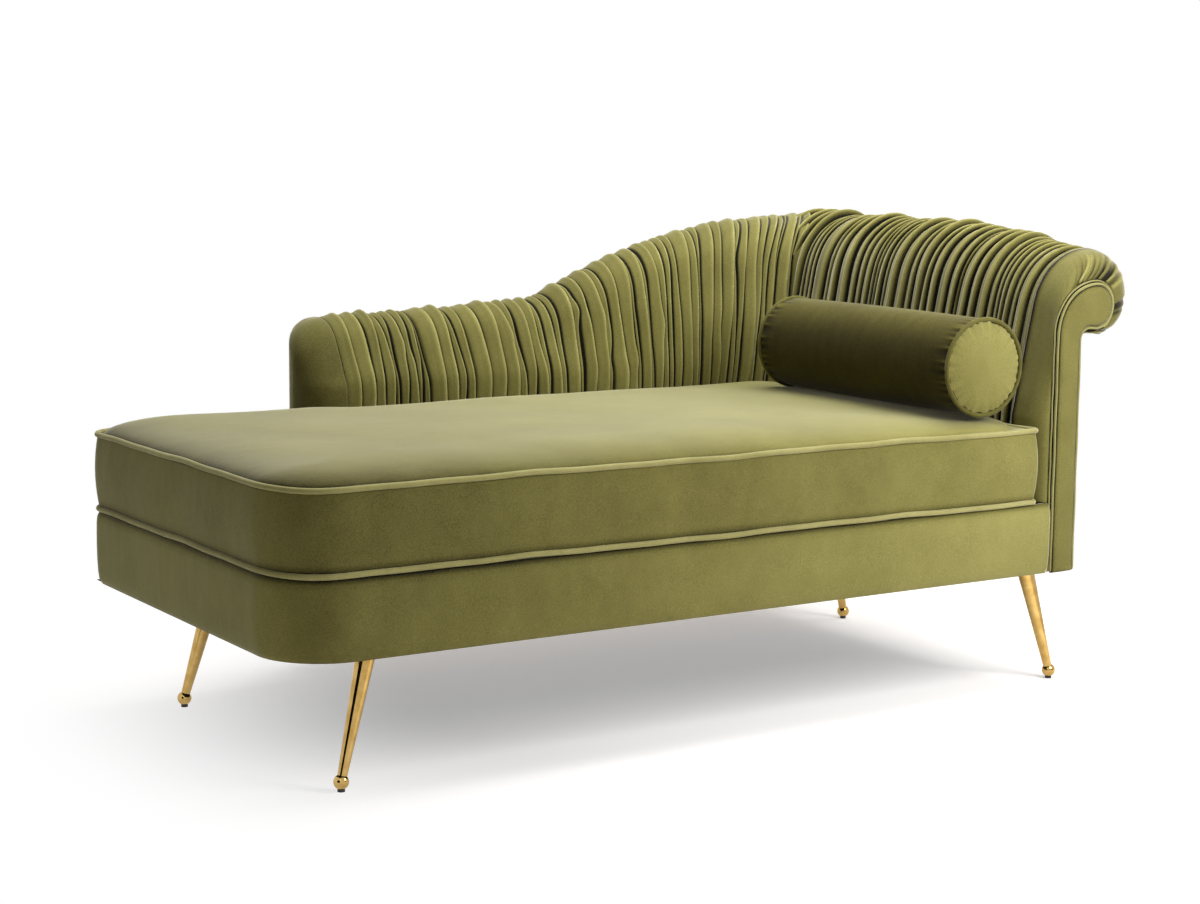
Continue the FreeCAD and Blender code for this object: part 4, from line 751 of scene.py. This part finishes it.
class CHAISE_OT_base(bpy.types.Operator):
    """Padded base: the velvet skin round the foot and the front, the deck under the cushion"""
    bl_idname = "chaise.base"
    bl_label = "Base"

    # Shares of the height with the cover's inset in millimetres
    PROFILE = [(0, 9), (0.02, 6), (0.07, 3.2), (0.17, 1.5), (0.34, 0.4), (0.5, 0), (0.68, 0.1),
               (0.85, 0.5), (0.93, 1.8), (0.98, 5), (1, 9), (1, 12)]

    def execute(self, context):
        height = DECK_TOP - LEG_HEIGHT
        section = [(LEG_HEIGHT + share * height, inset_mm / 1000) for share, inset_mm in self.PROFILE]
        section = np.array(section + [(LIP_UNDER, LIP_INSET), (LIP_UNDER, SKIN), (LEG_HEIGHT, SKIN)])
        front_end = PANEL_INNER - 2 * EDGE_WELT - 2 * GAP
        pieces = [run((BACK_START - 0.001, SEAT_DEPTH), (REAR_RADIUS, SEAT_DEPTH)),
                  arc((REAR_RADIUS, SEAT_DEPTH - REAR_RADIUS), REAR_RADIUS, 90, 180),
                  run((0, SEAT_DEPTH - REAR_RADIUS), (0, FOOT_RADIUS)),
                  arc((FOOT_RADIUS, FOOT_RADIUS), FOOT_RADIUS, 180, 270),
                  run((FOOT_RADIUS, 0), (front_end, 0))]
        plan = read_off(pieces, even(520))
        inward = left_normals(plan)
        along = even(len(plan))[:, None]
        puff = 0.0006 * np.sin(2 * math.pi * 7 * along) * np.sin(math.pi * even(len(section)))
        inset = section[None, :, 1] + np.abs(puff) * (np.arange(len(section)) < len(self.PROFILE) - 2)
        points = plan[:, None] + inward[:, None] * inset[..., None]
        skin = loft("base_skin", in_z(points, section[None, :, 0]), "velvet")
        # Painted light and shade on the base: paler towards the head, a painted highlight on the foot face,
        # painted shade along the top seam
        painted_light = 0.74 * points[..., 0] / SEAT_LENGTH - 0.38 + 0.55 * np.exp(-(points[..., 0] / 0.03) ** 2)
        paint_light_and_shade(skin, painted_light - 0.9 * np.exp(-((section[None, :, 0] - DECK_TOP) / 0.006) ** 2))
        seat(skin, "chassis", "velvet", "base_cover", fill=0.9)
        self.deck()
        self.dust_cloth()
        return {"FINISHED"}

    @staticmethod
    def deck():
        """The thin padded deck, a flat slab inside the base cover's lip."""
        columns, rows = 60, 36
        ring = ring_of(seat_sides(), columns, rows)
        ring = ring + left_normals(ring, closed=True) * DECK_INSET
        piece = flat_cloth("deck_cloth", ring, columns, rows, (DECK_TOP, DECK_UNDER), "deck_cloth")
        seat(piece, "chassis", "velvet", "deck_cover", "deck_pad", fill=0.9)

    @staticmethod
    def dust_cloth():
        """Black cloth drawn tight under the frame, 1 mm thick."""
        columns, rows = 50, 30
        start, x1, y1 = CLOTH_INSET, ARM_OUTER, SEAT_DEPTH - CLOTH_INSET
        corner = FOOT_RADIUS - start
        centre = (start + corner, start + corner)
        sides = [[arc(centre, corner, 225, 270), run((start + corner, start), (x1, start))],
                 [run((x1, start), (x1, y1))], [run((x1, y1), (start, y1))],
                 [run((start, y1), (start, start + corner)), arc(centre, corner, 180, 225)]]
        piece = flat_cloth("underside_cloth", ring_of(sides, columns, rows), columns, rows,
                           (CLOTH_TOP, CLOTH_UNDER), "dust_cloth")
        seat(piece, "chassis", "dust_cloth", "dust_cover")


class CHAISE_OT_back(bpy.types.Operator):
    """Pleated back: irregular knife pleats over the swoop, fanned out where they meet the arm"""
    bl_idname = "chaise.back"
    bl_label = "Pleated back"

    def execute(self, context):
        look = context.scene.chaise_look
        rows = 104
        shares = even(rows)
        stations = np.linspace(BACK_START, ARM_CROWN, 60)
        table = section_table(back_section, stations, shares)
        last, fan_from = ARM_INNER + INTO_ARM, 1.02
        edges = pleat_edges(BACK_START, last, look.back_pleats, rows, seed=5, spread=0.62, sway=0.46)
        edges = edges + (self.arm_side(table[0][-3]) - last) * soft_step(edges[:, :1], fan_from, last)
        fade = 0.25 + 0.75 * (1 - soft_step(shares, 0.86, 0.99))
        across, points, normals, heights, shade = pleated(table, stations, edges, look.pleat_depth, 17,
                                                          (0.50, 0.60), fade)
        skin = in_x(points + normals * heights[..., None], across)
        crown = back_top(across[:, -1])
        inner_y = np.array([FRAME_REAR + 0.0005, 0.80, BACK_FACE + 0.055, BACK_FACE + 0.055, 0.72])
        inner_z = np.stack([crown - BACK_LIP, crown - 0.045, crown - 0.06, np.full(len(crown), 0.40),
                            np.full(len(crown), DECK_TOP)], axis=1)
        closing_x = across[:, [-1, -1, -1, 20, 0]]
        inside = np.stack([closing_x, np.broadcast_to(inner_y, inner_z.shape), inner_z], axis=-1)
        piece = loft("back_pleats", np.concatenate([skin, inside], axis=1), "velvet")
        # Painted light and shade of the pleats; none on the hidden inside
        paint_light_and_shade(piece, np.concatenate([shade, np.zeros(inside.shape[:2])], axis=1))
        seat(piece, "chassis", "velvet", "back_pleated_cover", "back_pad", fill=0.8)
        return {"FINISHED"}

    @staticmethod
    def arm_side(section):
        """Where each row of the back runs into the arm's inner face, by its height."""
        inner = read_off(arm_section(BACK_FACE)[:2], even(200))
        return np.interp(section[:, 1], inner[:, 1], inner[:, 0]) + INTO_ARM


class CHAISE_OT_back_end(bpy.types.Operator):
    """Plain rounded foot end of the back: a half round in plan that falls away at the top"""
    bl_idname = "chaise.back_end"
    bl_label = "Back end"

    def execute(self, context):
        rows = 110
        start = BACK_START + 0.004
        half = BACK_REAR - BACK_MIDDLE
        crown = float(back_top(BACK_START))
        sections = []
        for turn in np.radians(np.concatenate([np.linspace(0, 75, 26), np.linspace(77, 89, 9)])):
            share = math.cos(turn)
            face, rear = BACK_MIDDLE - half * share, BACK_MIDDLE + half * share
            pieces = back_profile(face, face + BACK_CROWN_OUT * share, crown - BACK_END_DROP * (1 - share),
                                  BACK_TOP_RADIUS * share, rear, BACK_EDGE * share, BACK_LEAN_START - 0.010,
                                  LEG_HEIGHT, LEG_HEIGHT)
            section = read_off(pieces, even(rows))
            sections.append(in_x(section, start - half * math.sin(turn)))
        points = np.array(sections)
        points[..., 1] = np.where((points[..., 2] < DECK_TOP + 0.002),
                                  np.maximum(points[..., 1], SEAT_DEPTH + 0.0004), points[..., 1])
        piece = loft("back_end", points, "velvet")
        # Painted shade over the end's face, fading out before its rear
        painted_face_shade = -0.55 * (1 - soft_step(even(rows), 0.42, 0.58))
        paint_light_and_shade(piece, np.broadcast_to(painted_face_shade, points.shape[:2]))
        seat(piece, "chassis", "velvet", "back_end_cover", "back_end_pad", fill=0.9)
        return {"FINISHED"}


class CHAISE_OT_arm(bpy.types.Operator):
    """Pleated scroll arm: knife pleats that run over the scroll, towards the front"""
    bl_idname = "chaise.arm"
    bl_label = "Pleated arm"

    def execute(self, context):
        look = context.scene.chaise_look
        rows = 150
        shares = even(rows)
        stations = np.concatenate([np.linspace(BAND_REAR, BAND_REAR + ARM_DROP_RUN, 12), [FRAME_REAR]])
        edges = pleat_edges(FRAME_REAR, BAND_REAR + 0.001, look.arm_pleats, rows, seed=31, spread=0.58,
                            sway=0.50)
        fade = 1 - soft_step(shares, 0.72, 0.80)
        across, points, normals, heights, shade = pleated(section_table(arm_section, stations, shares),
                                                          stations, edges, look.pleat_depth, 41,
                                                          (0.47, 0.56), fade)
        tucked_in = 0.0004 * (1 - fade)
        skin = in_y(points + normals * (heights - tucked_in)[..., None], across)
        piece = loft("arm_pleats", skin, "velvet")
        # Painted light and shade of the pleats as they fade, and painted shade over the roll
        paint_light_and_shade(piece, shade * fade - 0.45 * soft_step(shares, 0.42, 0.58))
        seat(piece, "chassis", "velvet", "arm_pleated_cover", "arm_pad", fill=0.8)
        self.outer_cover()
        return {"FINISHED"}

    @staticmethod
    def outer_cover():
        """Plain velvet over the arm's outer face, under the roll: a slab that follows the fold."""
        y = np.linspace(PANEL_THICKNESS + GAP, FRAME_REAR + 0.006, 60)
        fold = np.array([arm_section(place)[3][-1][1] + FOLD_RADIUS / 2 for place in y])
        under_band = PANEL_TOP - 2 * PANEL_ROLL_RADIUS - 2 * FRONT_FOLD
        top = np.where(y < BAND_REAR, under_band, fold)
        heights = even(24)
        z = LEG_HEIGHT + (top[:, None] - LEG_HEIGHT) * heights
        along = np.sin(math.pi * (y - y[0]) / (y[-1] - y[0]))[:, None]
        belly = 0.0012 * np.sin(math.pi * heights)[None] * along
        outer = in_y(np.stack([ARM_OUTER + COVER + belly, z], axis=-1), y[:, None])
        inner = in_y(np.stack([np.full(z.shape, ARM_OUTER + GAP), z], axis=-1), y[:, None])
        points = np.concatenate([outer, inner[:, ::-1]], axis=1)
        seat(loft("arm_outer_skin", points, "velvet"), "chassis", "velvet", "arm_outer_cover")


class CHAISE_OT_arm_front(bpy.types.Operator):
    """Rounded front band with puckers at the scroll, the scroll panel and its piping"""
    bl_idname = "chaise.arm_front"
    bl_label = "Arm front"

    def execute(self, context):
        self.band()
        self.panel()
        self.welts()
        return {"FINISHED"}

    @staticmethod
    def band():
        """A quarter ellipse from the arm's section to the panel's outline, with radial puckers."""
        rows, columns = 300, 40
        shares = even(rows)
        grow = 2 * EDGE_WELT + GAP
        full = np.array([ARM_INNER, ARM_CROWN, ARM_TOP - ARM_DROP, ARM_TOP_RADIUS, ARM_ROLL_RADIUS])
        small = np.array([PANEL_INNER - grow, PANEL_INNER + PANEL_TOP_RADIUS, PANEL_TOP + grow,
                          PANEL_TOP_RADIUS + grow, PANEL_ROLL_RADIUS + grow])
        turns = np.radians(np.linspace(0, 90, columns))
        sections = []
        for turn in turns:
            sizes = full + (small - full) * (1 - math.cos(turn))
            fold = FOLD_RADIUS + (FRONT_FOLD - FOLD_RADIUS) * math.sin(turn)
            sections.append(read_off(scroll(*sizes, ARM_OUTER, fold, DECK_TOP), shares))
        points = np.array(sections)
        normals = left_normals(points)
        y = BAND_REAR - (BAND_REAR - BAND_FRONT) * np.sin(turns)
        inner, outer = soft_step(shares, 0.36, 0.44), 1 - soft_step(shares, 0.66, 0.72)
        rng = np.random.default_rng(8)
        puckers = 34
        marks = np.sort(rng.uniform(0.38, 0.70, puckers))
        heights = rng.uniform(0.35, 1, puckers) * rng.choice([1, -1], puckers, p=[0.25, 0.75])
        spread = rng.uniform(0.0018, 0.0036, puckers)
        pucker = (heights[:, None] * np.exp(-((shares - marks[:, None]) / spread[:, None]) ** 2)).sum(axis=0)
        roll = soft_step(shares, 0.50, 0.56)
        reach = np.sin(turns)[:, None] ** (2.6 - 1.9 * roll[None])
        reach = reach * (1 - 0.4 * soft_step(turns, 1.45, 1.57)[:, None])
        depth = 0.0058 * pucker * inner * outer * reach
        edge = 0.0016 * np.exp(-(turns / 0.16) ** 2)[:, None]
        skin = in_y(points + normals * (depth + edge)[..., None], y[:, None])
        piece = loft("arm_band", skin, "velvet")
        # Painted shade along the band's seams, at the last pleat and at the panel's piping; a little over all
        # and more over the roll
        painted_crease_shade = -1.6 * np.exp(-(turns / 0.10) ** 2) - 1.2 * np.exp(-((turns - 1.571) / 0.05) ** 2)
        painted_crease_shade = painted_crease_shade[:, None] - 0.08 - 0.35 * soft_step(shares, 0.46, 0.58)
        # Painted shade in the puckers' hollows and painted highlights on their crests
        paint_light_and_shade(piece, np.clip(pucker * 1.5, -1.5, 0.6) * inner * outer * reach + painted_crease_shade)
        seat(piece, "chassis", "velvet", "arm_front_band", fill=0.9)

    @staticmethod
    def panel():
        """The flat scroll panel, drawn back a little along its edge: offset outlines, each set back."""
        rows = 260
        shares = even(rows)
        outer = ARM_OUTER - EDGE_WELT
        insets = np.array([0, 0, 0.0006, 0.0018, 0.0036, 0.0060, 0.0090])
        places = np.array([PANEL_THICKNESS, 0.0042, 0.0022, 0.0010, 0.0002, -0.0004, -0.0008])
        rings = [in_y(read_off(panel_section(-inset, outer - inset, FRONT_FOLD + inset, LEG_HEIGHT + inset),
                               shares), place) for inset, place in zip(insets, places)]
        piece = loft("arm_panel", np.array(rings), "velvet")
        # Painted shade: dark round the rim beside the piping, a little darker over the face
        paint_light_and_shade(piece, np.repeat([-1.5, -1.5, -1.2, -0.6, -0.25, -0.18, -0.15], rows))
        seat(piece, "chassis", "velvet", "arm_front_panel", fill=0.9)

    @staticmethod
    def welts():
        """Piping round the panel, and a second row beside it down the inner edge and over the eye."""
        for name, radius, out, depth in (("arm_piping", 0.0022, 0.0024, 0.0030),
                                         ("arm_piping_second", 0.0014, 0.0074, 0.0062)):
            outer = ARM_OUTER - EDGE_WELT + out
            path = panel_section(out, outer, FRONT_FOLD - out, LEG_HEIGHT + radius)
            if name == "arm_piping_second":
                path = path[:2] + [arc((PANEL_INNER + PANEL_TOP_RADIUS, PANEL_TOP - PANEL_ROLL_RADIUS),
                                       PANEL_ROLL_RADIUS + out, 90, -60)]
            line = read_off(path, even(460))
            along = even(len(line))
            wander = 0.0004 * np.sin(61 * along)
            welt = tube(name, in_y(line, depth + wander), radius, "seam_piping")
            nodes = ["arm_front_welt"] if name == "arm_piping" else []
            seat(welt, "chassis", "piping", *nodes)


class CHAISE_OT_back_rear(bpy.types.Operator):
    """Plain rear panel and the piping along its edge"""
    bl_idname = "chaise.back_rear"
    bl_label = "Rear panel"

    def execute(self, context):
        radius, gap = EDGE_WELT, GAP
        steep = math.radians(28)
        room = (radius + gap) / math.cos(steep)
        inset = radius + 0.002
        crown_x = np.linspace(BACK_START, ARM_CROWN, 400)
        crown_line = np.column_stack([crown_x, back_top(crown_x) - BACK_LIP - 2 * room])
        side = read_off(arm_section(FRAME_REAR, -inset - radius - gap, LEG_HEIGHT), even(500))
        peak = int(np.argmax(side[:, 1]))
        under = np.interp(side[:peak, 0], crown_x, crown_line[:, 1])
        first = int(np.argmax((side[:peak, 1] > under) & (side[:peak, 0] > ARM_INNER + 0.03)))
        keep = crown_line[crown_line[:, 0] < side[first, 0]]
        upright = run((BACK_START, LEG_HEIGHT), (BACK_START, crown_line[0, 1]))
        outline = read_off([upright, keep, side[first:]], even(420))
        inward = -left_normals(outline)
        insets = np.array([0, 0, 0.0006, 0.002, 0.005])
        places = FRAME_REAR + np.array([0.0003, 0.0035, 0.0050, 0.0058, 0.006])
        rings = [in_y(outline + inward * inset, place) for inset, place in zip(insets, places)]
        panel = loft("rear_panel", np.array(rings), "velvet")
        seat(panel, "chassis", "velvet", "back_outer_cover", fill=0.9)
        level = FRAME_REAR + radius
        welt_line = np.column_stack([crown_x, back_top(crown_x) - BACK_LIP - room])
        edge = read_off(arm_section(FRAME_REAR, -inset, LEG_HEIGHT)[1:3], even(300))
        under = np.interp(edge[:, 0], crown_x, welt_line[:, 1])
        first = int(np.argmax(edge[:, 1] > under))
        arm_welt = tube("arm_rear_piping", in_y(edge[first:], level), radius, "piping")
        seat(arm_welt, "chassis", "piping", "arm_rear_welt")
        line = welt_line[welt_line[:, 0] < edge[first, 0] - 2 * radius]
        back_welt = tube("back_piping", in_y(line, level), radius, "piping")
        seat(back_welt, "chassis", "piping", "back_welt")
        return {"FINISHED"}


class CHAISE_OT_bolster(bpy.types.Operator):
    """Bolster: a full barrel with gathers at its ends, two puckered discs and thick piping"""
    bl_idname = "chaise.bolster"
    bl_label = "Bolster"

    def execute(self, context):
        sides = 240
        start, end = BOLSTER_FRONT + BOLSTER_WELT, BOLSTER_FRONT + BOLSTER_LENGTH - BOLSTER_WELT
        share = np.concatenate([np.linspace(0, 0.10, 26), np.linspace(0.12, 0.88, 30),
                                np.linspace(0.90, 1, 26)])
        places = start + (end - start) * share
        radii = BOLSTER_END + (BOLSTER_RADIUS - BOLSTER_END) * np.sin(math.pi * share) ** 0.8
        from_end = np.minimum(places - start, end - places)
        gathers = self.gathers(sides, 46, 3)
        reach = np.exp(-(from_end[:, None] / (0.010 + 0.012 * np.abs(gathers[None]))) ** 1.6)
        form = radii[:, None] + 0.0017 * gathers[None] * reach - 0.0006 * np.exp(-(from_end / 0.004))[:, None]
        barrel = loft("bolster", about_bolster(form, places[:, None], sides), "bolster_velvet_painted_shade")
        # Painted light and shade on the barrel: painted highlights on the top and on the gathers' crests,
        # painted shade in their hollows and over the rest
        upward = np.sin(bearings(sides))
        paint_light_and_shade(barrel, 0.8 * gathers[None] * reach + 0.5 * soft_step(upward, 0.3, 1)[None] - 0.35)
        seat(barrel, "bolster", "velvet", "bolster_cover", "bolster_core", fill=0.9)
        for side, place, out, seed in (("front", start, -1, 5), ("rear", end, 1, 9)):
            self.disc(side, place, out, seed)
            points = 200
            ring = about_bolster(np.full(points, BOLSTER_END), place, points)
            angle = bearings(points)
            wobble = 1 + 0.03 * np.sin(17 * angle) + 0.03 * np.sin(29 * angle + 1)
            welt = tube("bolster_piping_" + side, ring, BOLSTER_WELT * wobble, "bolster_piping", closed=True)
            seat(welt, "bolster", "piping", "bolster_%s_welt" % side)
        return {"FINISHED"}

    @staticmethod
    def gathers(sides, count, seed):
        """A ring of soft folds of uneven width and height, as heights from -1 to 1 round the end."""
        rng = np.random.default_rng(seed)
        turns = np.arange(sides) / sides
        centres = (np.arange(count) + rng.uniform(-0.3, 0.3, count)) / count
        apart = (turns[None] - centres[:, None] + 0.5) % 1 - 0.5
        height = rng.uniform(0.2, 1, count)
        fold = (height[:, None] * np.exp(-(apart * count / 0.33) ** 2)).sum(axis=0)
        return 2 * fold - 1

    @classmethod
    def disc(cls, side, place, out, seed):
        """An end disc that swells out, its rim gathered in short folds that fade towards the middle."""
        sides, rings = 240, 34
        share = even(rings)
        rim = BOLSTER_END - BOLSTER_WELT * 0.6
        radius = rim * (1 - share) + 0.0006 * share
        swell = 0.0062 * (1 - (radius / rim) ** 4)
        folds = cls.gathers(sides, 40, seed)
        reach = np.exp(-((rim - radius)[:, None] / (0.006 + 0.012 * np.abs(folds)[None])) ** 1.5)
        place_out = place + out * (swell[:, None] + 0.0007 * folds[None] * reach - 0.0005)
        front = about_bolster(radius[:, None], place_out, sides)
        behind = about_bolster(np.full((1, sides), rim), place - out * 0.003, sides)
        piece = loft("bolster_end_" + side, np.concatenate([behind, front]), "velvet")
        # Painted light and shade on the disc: lighter over all and towards one side, darker towards the
        # other, highlights and shade on the folds, painted shade in the ring behind the piping
        turned = 0.22 * (radius / rim)[:, None] * np.cos(bearings(sides) - 0.6)[None]
        painted_light = 0.18 * folds[None] * reach + 0.20 + turned
        paint_light_and_shade(piece, np.concatenate([np.full((1, sides), -1.0), painted_light]))
        seat(piece, "bolster", "velvet", "bolster_%s_end" % side)


class CHAISE_OT_frame_finishes(bpy.types.Operator):
    """Finishes of the rigid pieces that stay as the frame has them"""
    bl_idname = "chaise.frame_finishes"
    bl_label = "Frame finishes"

    RULES = (("leg_block", "timber"), ("leg_plates", "steel"), ("leg_plate_screws", "steel"),
             ("leg_studs", "steel"), ("leg_", "gold"), ("glide_", "nylon"), ("base_", "timber"),
             ("webbing_", "webbing"), ("arm_roll_poles", "timber"), ("arm_rails", "timber"),
             ("arm_", "plywood"), ("back_board", "plywood"), ("back_", "timber"))

    def execute(self, context):
        for name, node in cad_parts.items():
            if node.hide_render:
                continue
            found = [finish for start, finish in self.RULES if name.startswith(start)]
            if not found:
                raise RuntimeError("no finish for %s" % name)
            node.data.materials.clear()
            node.data.materials.append(finish_of(found[0]))
            turned = found[0] in ("gold", "nylon")
            node.data.polygons.foreach_set("use_smooth", np.full(len(node.data.polygons), turned))
        return {"FINISHED"}


def card(name, place, side, material):
    """A square plane of the studio."""
    bpy.ops.mesh.primitive_plane_add(size=side, location=place)
    plane = bpy.context.object
    plane.name = name
    plane.data.materials.append(material)
    return plane


def turned_to(place, aim, axis):
    """The turn that points an axis from a place to its aim."""
    return (Vector(aim) - Vector(place)).to_track_quat(axis, "Y").to_euler()


class CHAISE_OT_studio(bpy.types.Operator):
    """White studio: floor, soft lights and the camera"""
    bl_idname = "chaise.studio"
    bl_label = "Studio"

    def execute(self, context):
        look = context.scene.chaise_look
        self.floor()
        self.world()
        self.lamp("key", (0.85, -1.5, 1.25), (0.55, 0.0, 0.40), 0.9, look.key_power)
        self.lamp("top", (0.5, 0.1, 2.6), (0.3, 0.0, 0.4), 1.9, look.top_power)
        self.lamp("side", (-2.6, -2.6, 2.2), (0.0, 0.0, 0.4), 1.6, look.side_power)
        self.flag("flag_left", (-2.2, -1.0, 0.5), (0.0, 0.0, 0.2), 1.3)
        self.flag("flag_right", (1.6, -2.6, 0.4), (0.0, 0.0, 0.2), 0.9)
        self.camera()
        context.scene.view_settings.view_transform = "Standard"
        return {"FINISHED"}

    @staticmethod
    def floor():
        """A wide floor that shows white to the camera and still takes the soft shadow."""
        material, tree, place = blank("white_studio_floor")
        shade = add_node(tree, "ShaderNodeBsdfDiffuse", Color=linear("#f7f3f0"))
        glow = add_node(tree, "ShaderNodeEmission", Color=(1, 1, 1, 1), Strength=0.36)
        lit = add_node(tree, "ShaderNodeAddShader", i0=shade.outputs[0], i1=glow.outputs[0])
        aside = add_node(tree, "ShaderNodeMapping", Vector=place, Location=(-0.32, 0.10, 0))
        away = add_node(tree, "ShaderNodeVectorMath", {"operation": "LENGTH"}, i0=aside.outputs[0])
        far = add_node(tree, "ShaderNodeMapRange", {"interpolation_type": "SMOOTHSTEP"},
                       Value=away.outputs["Value"], From_Min=0.65, From_Max=1.35)
        white = add_node(tree, "ShaderNodeEmission", Color=(1, 1, 1, 1), Strength=1.0)
        both = add_node(tree, "ShaderNodeMixShader", i0=far.outputs[0], i1=lit.outputs[0],
                        i2=white.outputs[0])
        mix = add_node(tree, "ShaderNodeMixShader", i0=seen_by(tree, "Camera", "Glossy"), i1=shade.outputs[0],
                       i2=both.outputs[0])
        card("studio_floor", (0, 0, 0), 60, finished(material, mix))

    @staticmethod
    def world():
        """A pale even world, pure white where the camera or a mirror sees it."""
        world = bpy.data.worlds.new("studio_world")
        bpy.context.scene.world = world
        world.use_nodes = True
        tree = world.node_tree
        tree.nodes.clear()
        ambient = 0.22
        strength = scaled(tree, seen_by(tree, "Camera", "Glossy", "Transmission"), 1 - ambient, ambient)
        light = add_node(tree, "ShaderNodeBackground", Color=(1, 1, 1, 1), Strength=strength)
        add_node(tree, "ShaderNodeOutputWorld", i0=light.outputs[0])

    @staticmethod
    def lamp(name, place, aim, side, power):
        """A square soft box aimed at a point."""
        data = bpy.data.lights.new(name, "AREA")
        data.shape = "SQUARE"
        data.size = side
        data.energy = power
        lamp = bpy.data.objects.new(name, data)
        lamp.location = place
        lamp.rotation_euler = turned_to(place, aim, "-Z")
        bpy.context.scene.collection.objects.link(lamp)

    @staticmethod
    def flag(name, place, aim, side):
        """A dark card that only mirrors see: it gives the polished legs their dark bands."""
        material = blank("black_card")[0]
        shade = add_node(material.node_tree, "ShaderNodeBsdfDiffuse", Color=linear("#1c1a18"))
        plane = card(name, place, side, finished(material, shade))
        plane.rotation_euler = turned_to(place, aim, "Z")
        for ray in ("visible_camera", "visible_diffuse", "visible_shadow", "visible_transmission"):
            setattr(plane, ray, False)

    @staticmethod
    def camera():
        """The camera where the photograph was taken from: turned, pitched and rolled in that order."""
        place = (-2.1030, -3.2416, 0.9408)
        yaw, pitch, roll = np.radians([32.67, 8.086, 0.5167]).tolist()
        ahead = Vector((math.sin(yaw) * math.cos(pitch), math.cos(yaw) * math.cos(pitch), -math.sin(pitch)))
        right = ahead.cross(Vector((0, 0, 1))).normalized()
        above = right.cross(ahead)
        turned_right = math.cos(roll) * right + math.sin(roll) * above
        turned_above = math.cos(roll) * above - math.sin(roll) * right
        data = bpy.data.cameras.new("camera")
        data.lens = 70.93
        data.sensor_width = 36
        camera = bpy.data.objects.new("camera", data)
        turn = Matrix((turned_right, turned_above, -ahead)).transposed()
        camera.matrix_world = Matrix.Translation(place) @ turn.to_4x4()
        bpy.context.scene.collection.objects.link(camera)
        bpy.context.scene.camera = camera


class ChaiseLook(bpy.types.PropertyGroup):
    """Sizes and colours that a user would change"""
    back_pleats: bpy.props.IntProperty(
        name="Back pleats", description="Pleats along the back", default=52, min=8)
    arm_pleats: bpy.props.IntProperty(
        name="Arm pleats", description="Pleats across the arm", default=38, min=8)
    pleat_depth: bpy.props.FloatProperty(
        name="Pleat depth", description="Height of a fold over its crease", default=0.013, unit="LENGTH")
    sheen: bpy.props.FloatProperty(
        name="Sheen", description="Strength of the velvet's pale edge light", default=1.0, subtype="FACTOR")
    velvet_low: bpy.props.StringProperty(
        name="Velvet low", description="Darkest velvet colour", default="#59542a")
    velvet_mid: bpy.props.StringProperty(
        name="Velvet middle", description="Main velvet colour", default="#77723e")
    velvet_high: bpy.props.StringProperty(
        name="Velvet high", description="Palest velvet colour", default="#918c52")
    key_power: bpy.props.FloatProperty(
        name="Key", description="Power of the key light", default=27, unit="POWER")
    top_power: bpy.props.FloatProperty(
        name="Top", description="Power of the top light", default=82, unit="POWER")
    side_power: bpy.props.FloatProperty(
        name="Side", description="Power of the side light", default=3, unit="POWER")


OPERATORS = (
    CHAISE_OT_seat_cushion, CHAISE_OT_base, CHAISE_OT_back, CHAISE_OT_back_end, CHAISE_OT_arm,
    CHAISE_OT_arm_front, CHAISE_OT_back_rear, CHAISE_OT_bolster, CHAISE_OT_frame_finishes, CHAISE_OT_studio,
)


class CHAISE_PT_panel(bpy.types.Panel):
    """The pieces and their settings in the sidebar"""
    bl_label = "Chaise longue"
    bl_idname = "CHAISE_PT_panel"
    bl_space_type = "VIEW_3D"
    bl_region_type = "UI"
    bl_category = "Chaise"

    def draw(self, context):
        look = context.scene.chaise_look
        for name in ChaiseLook.__annotations__:
            self.layout.prop(look, name)
        for operator in OPERATORS:
            self.layout.operator(operator.bl_idname)


def register():
    """Registers the settings, the operators and the panel."""
    for kind in (ChaiseLook, *OPERATORS, CHAISE_PT_panel):
        bpy.utils.register_class(kind)
    bpy.types.Scene.chaise_look = bpy.props.PointerProperty(type=ChaiseLook)


def unregister():
    """Removes them again."""
    del bpy.types.Scene.chaise_look
    for kind in reversed((ChaiseLook, *OPERATORS, CHAISE_PT_panel)):
        bpy.utils.unregister_class(kind)


def main():
    """Builds every piece."""
    register()
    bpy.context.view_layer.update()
    for operator in OPERATORS:
        group, name = operator.bl_idname.split(".")
        getattr(getattr(bpy.ops, group), name)()


if __name__ == "__main__":
    main()
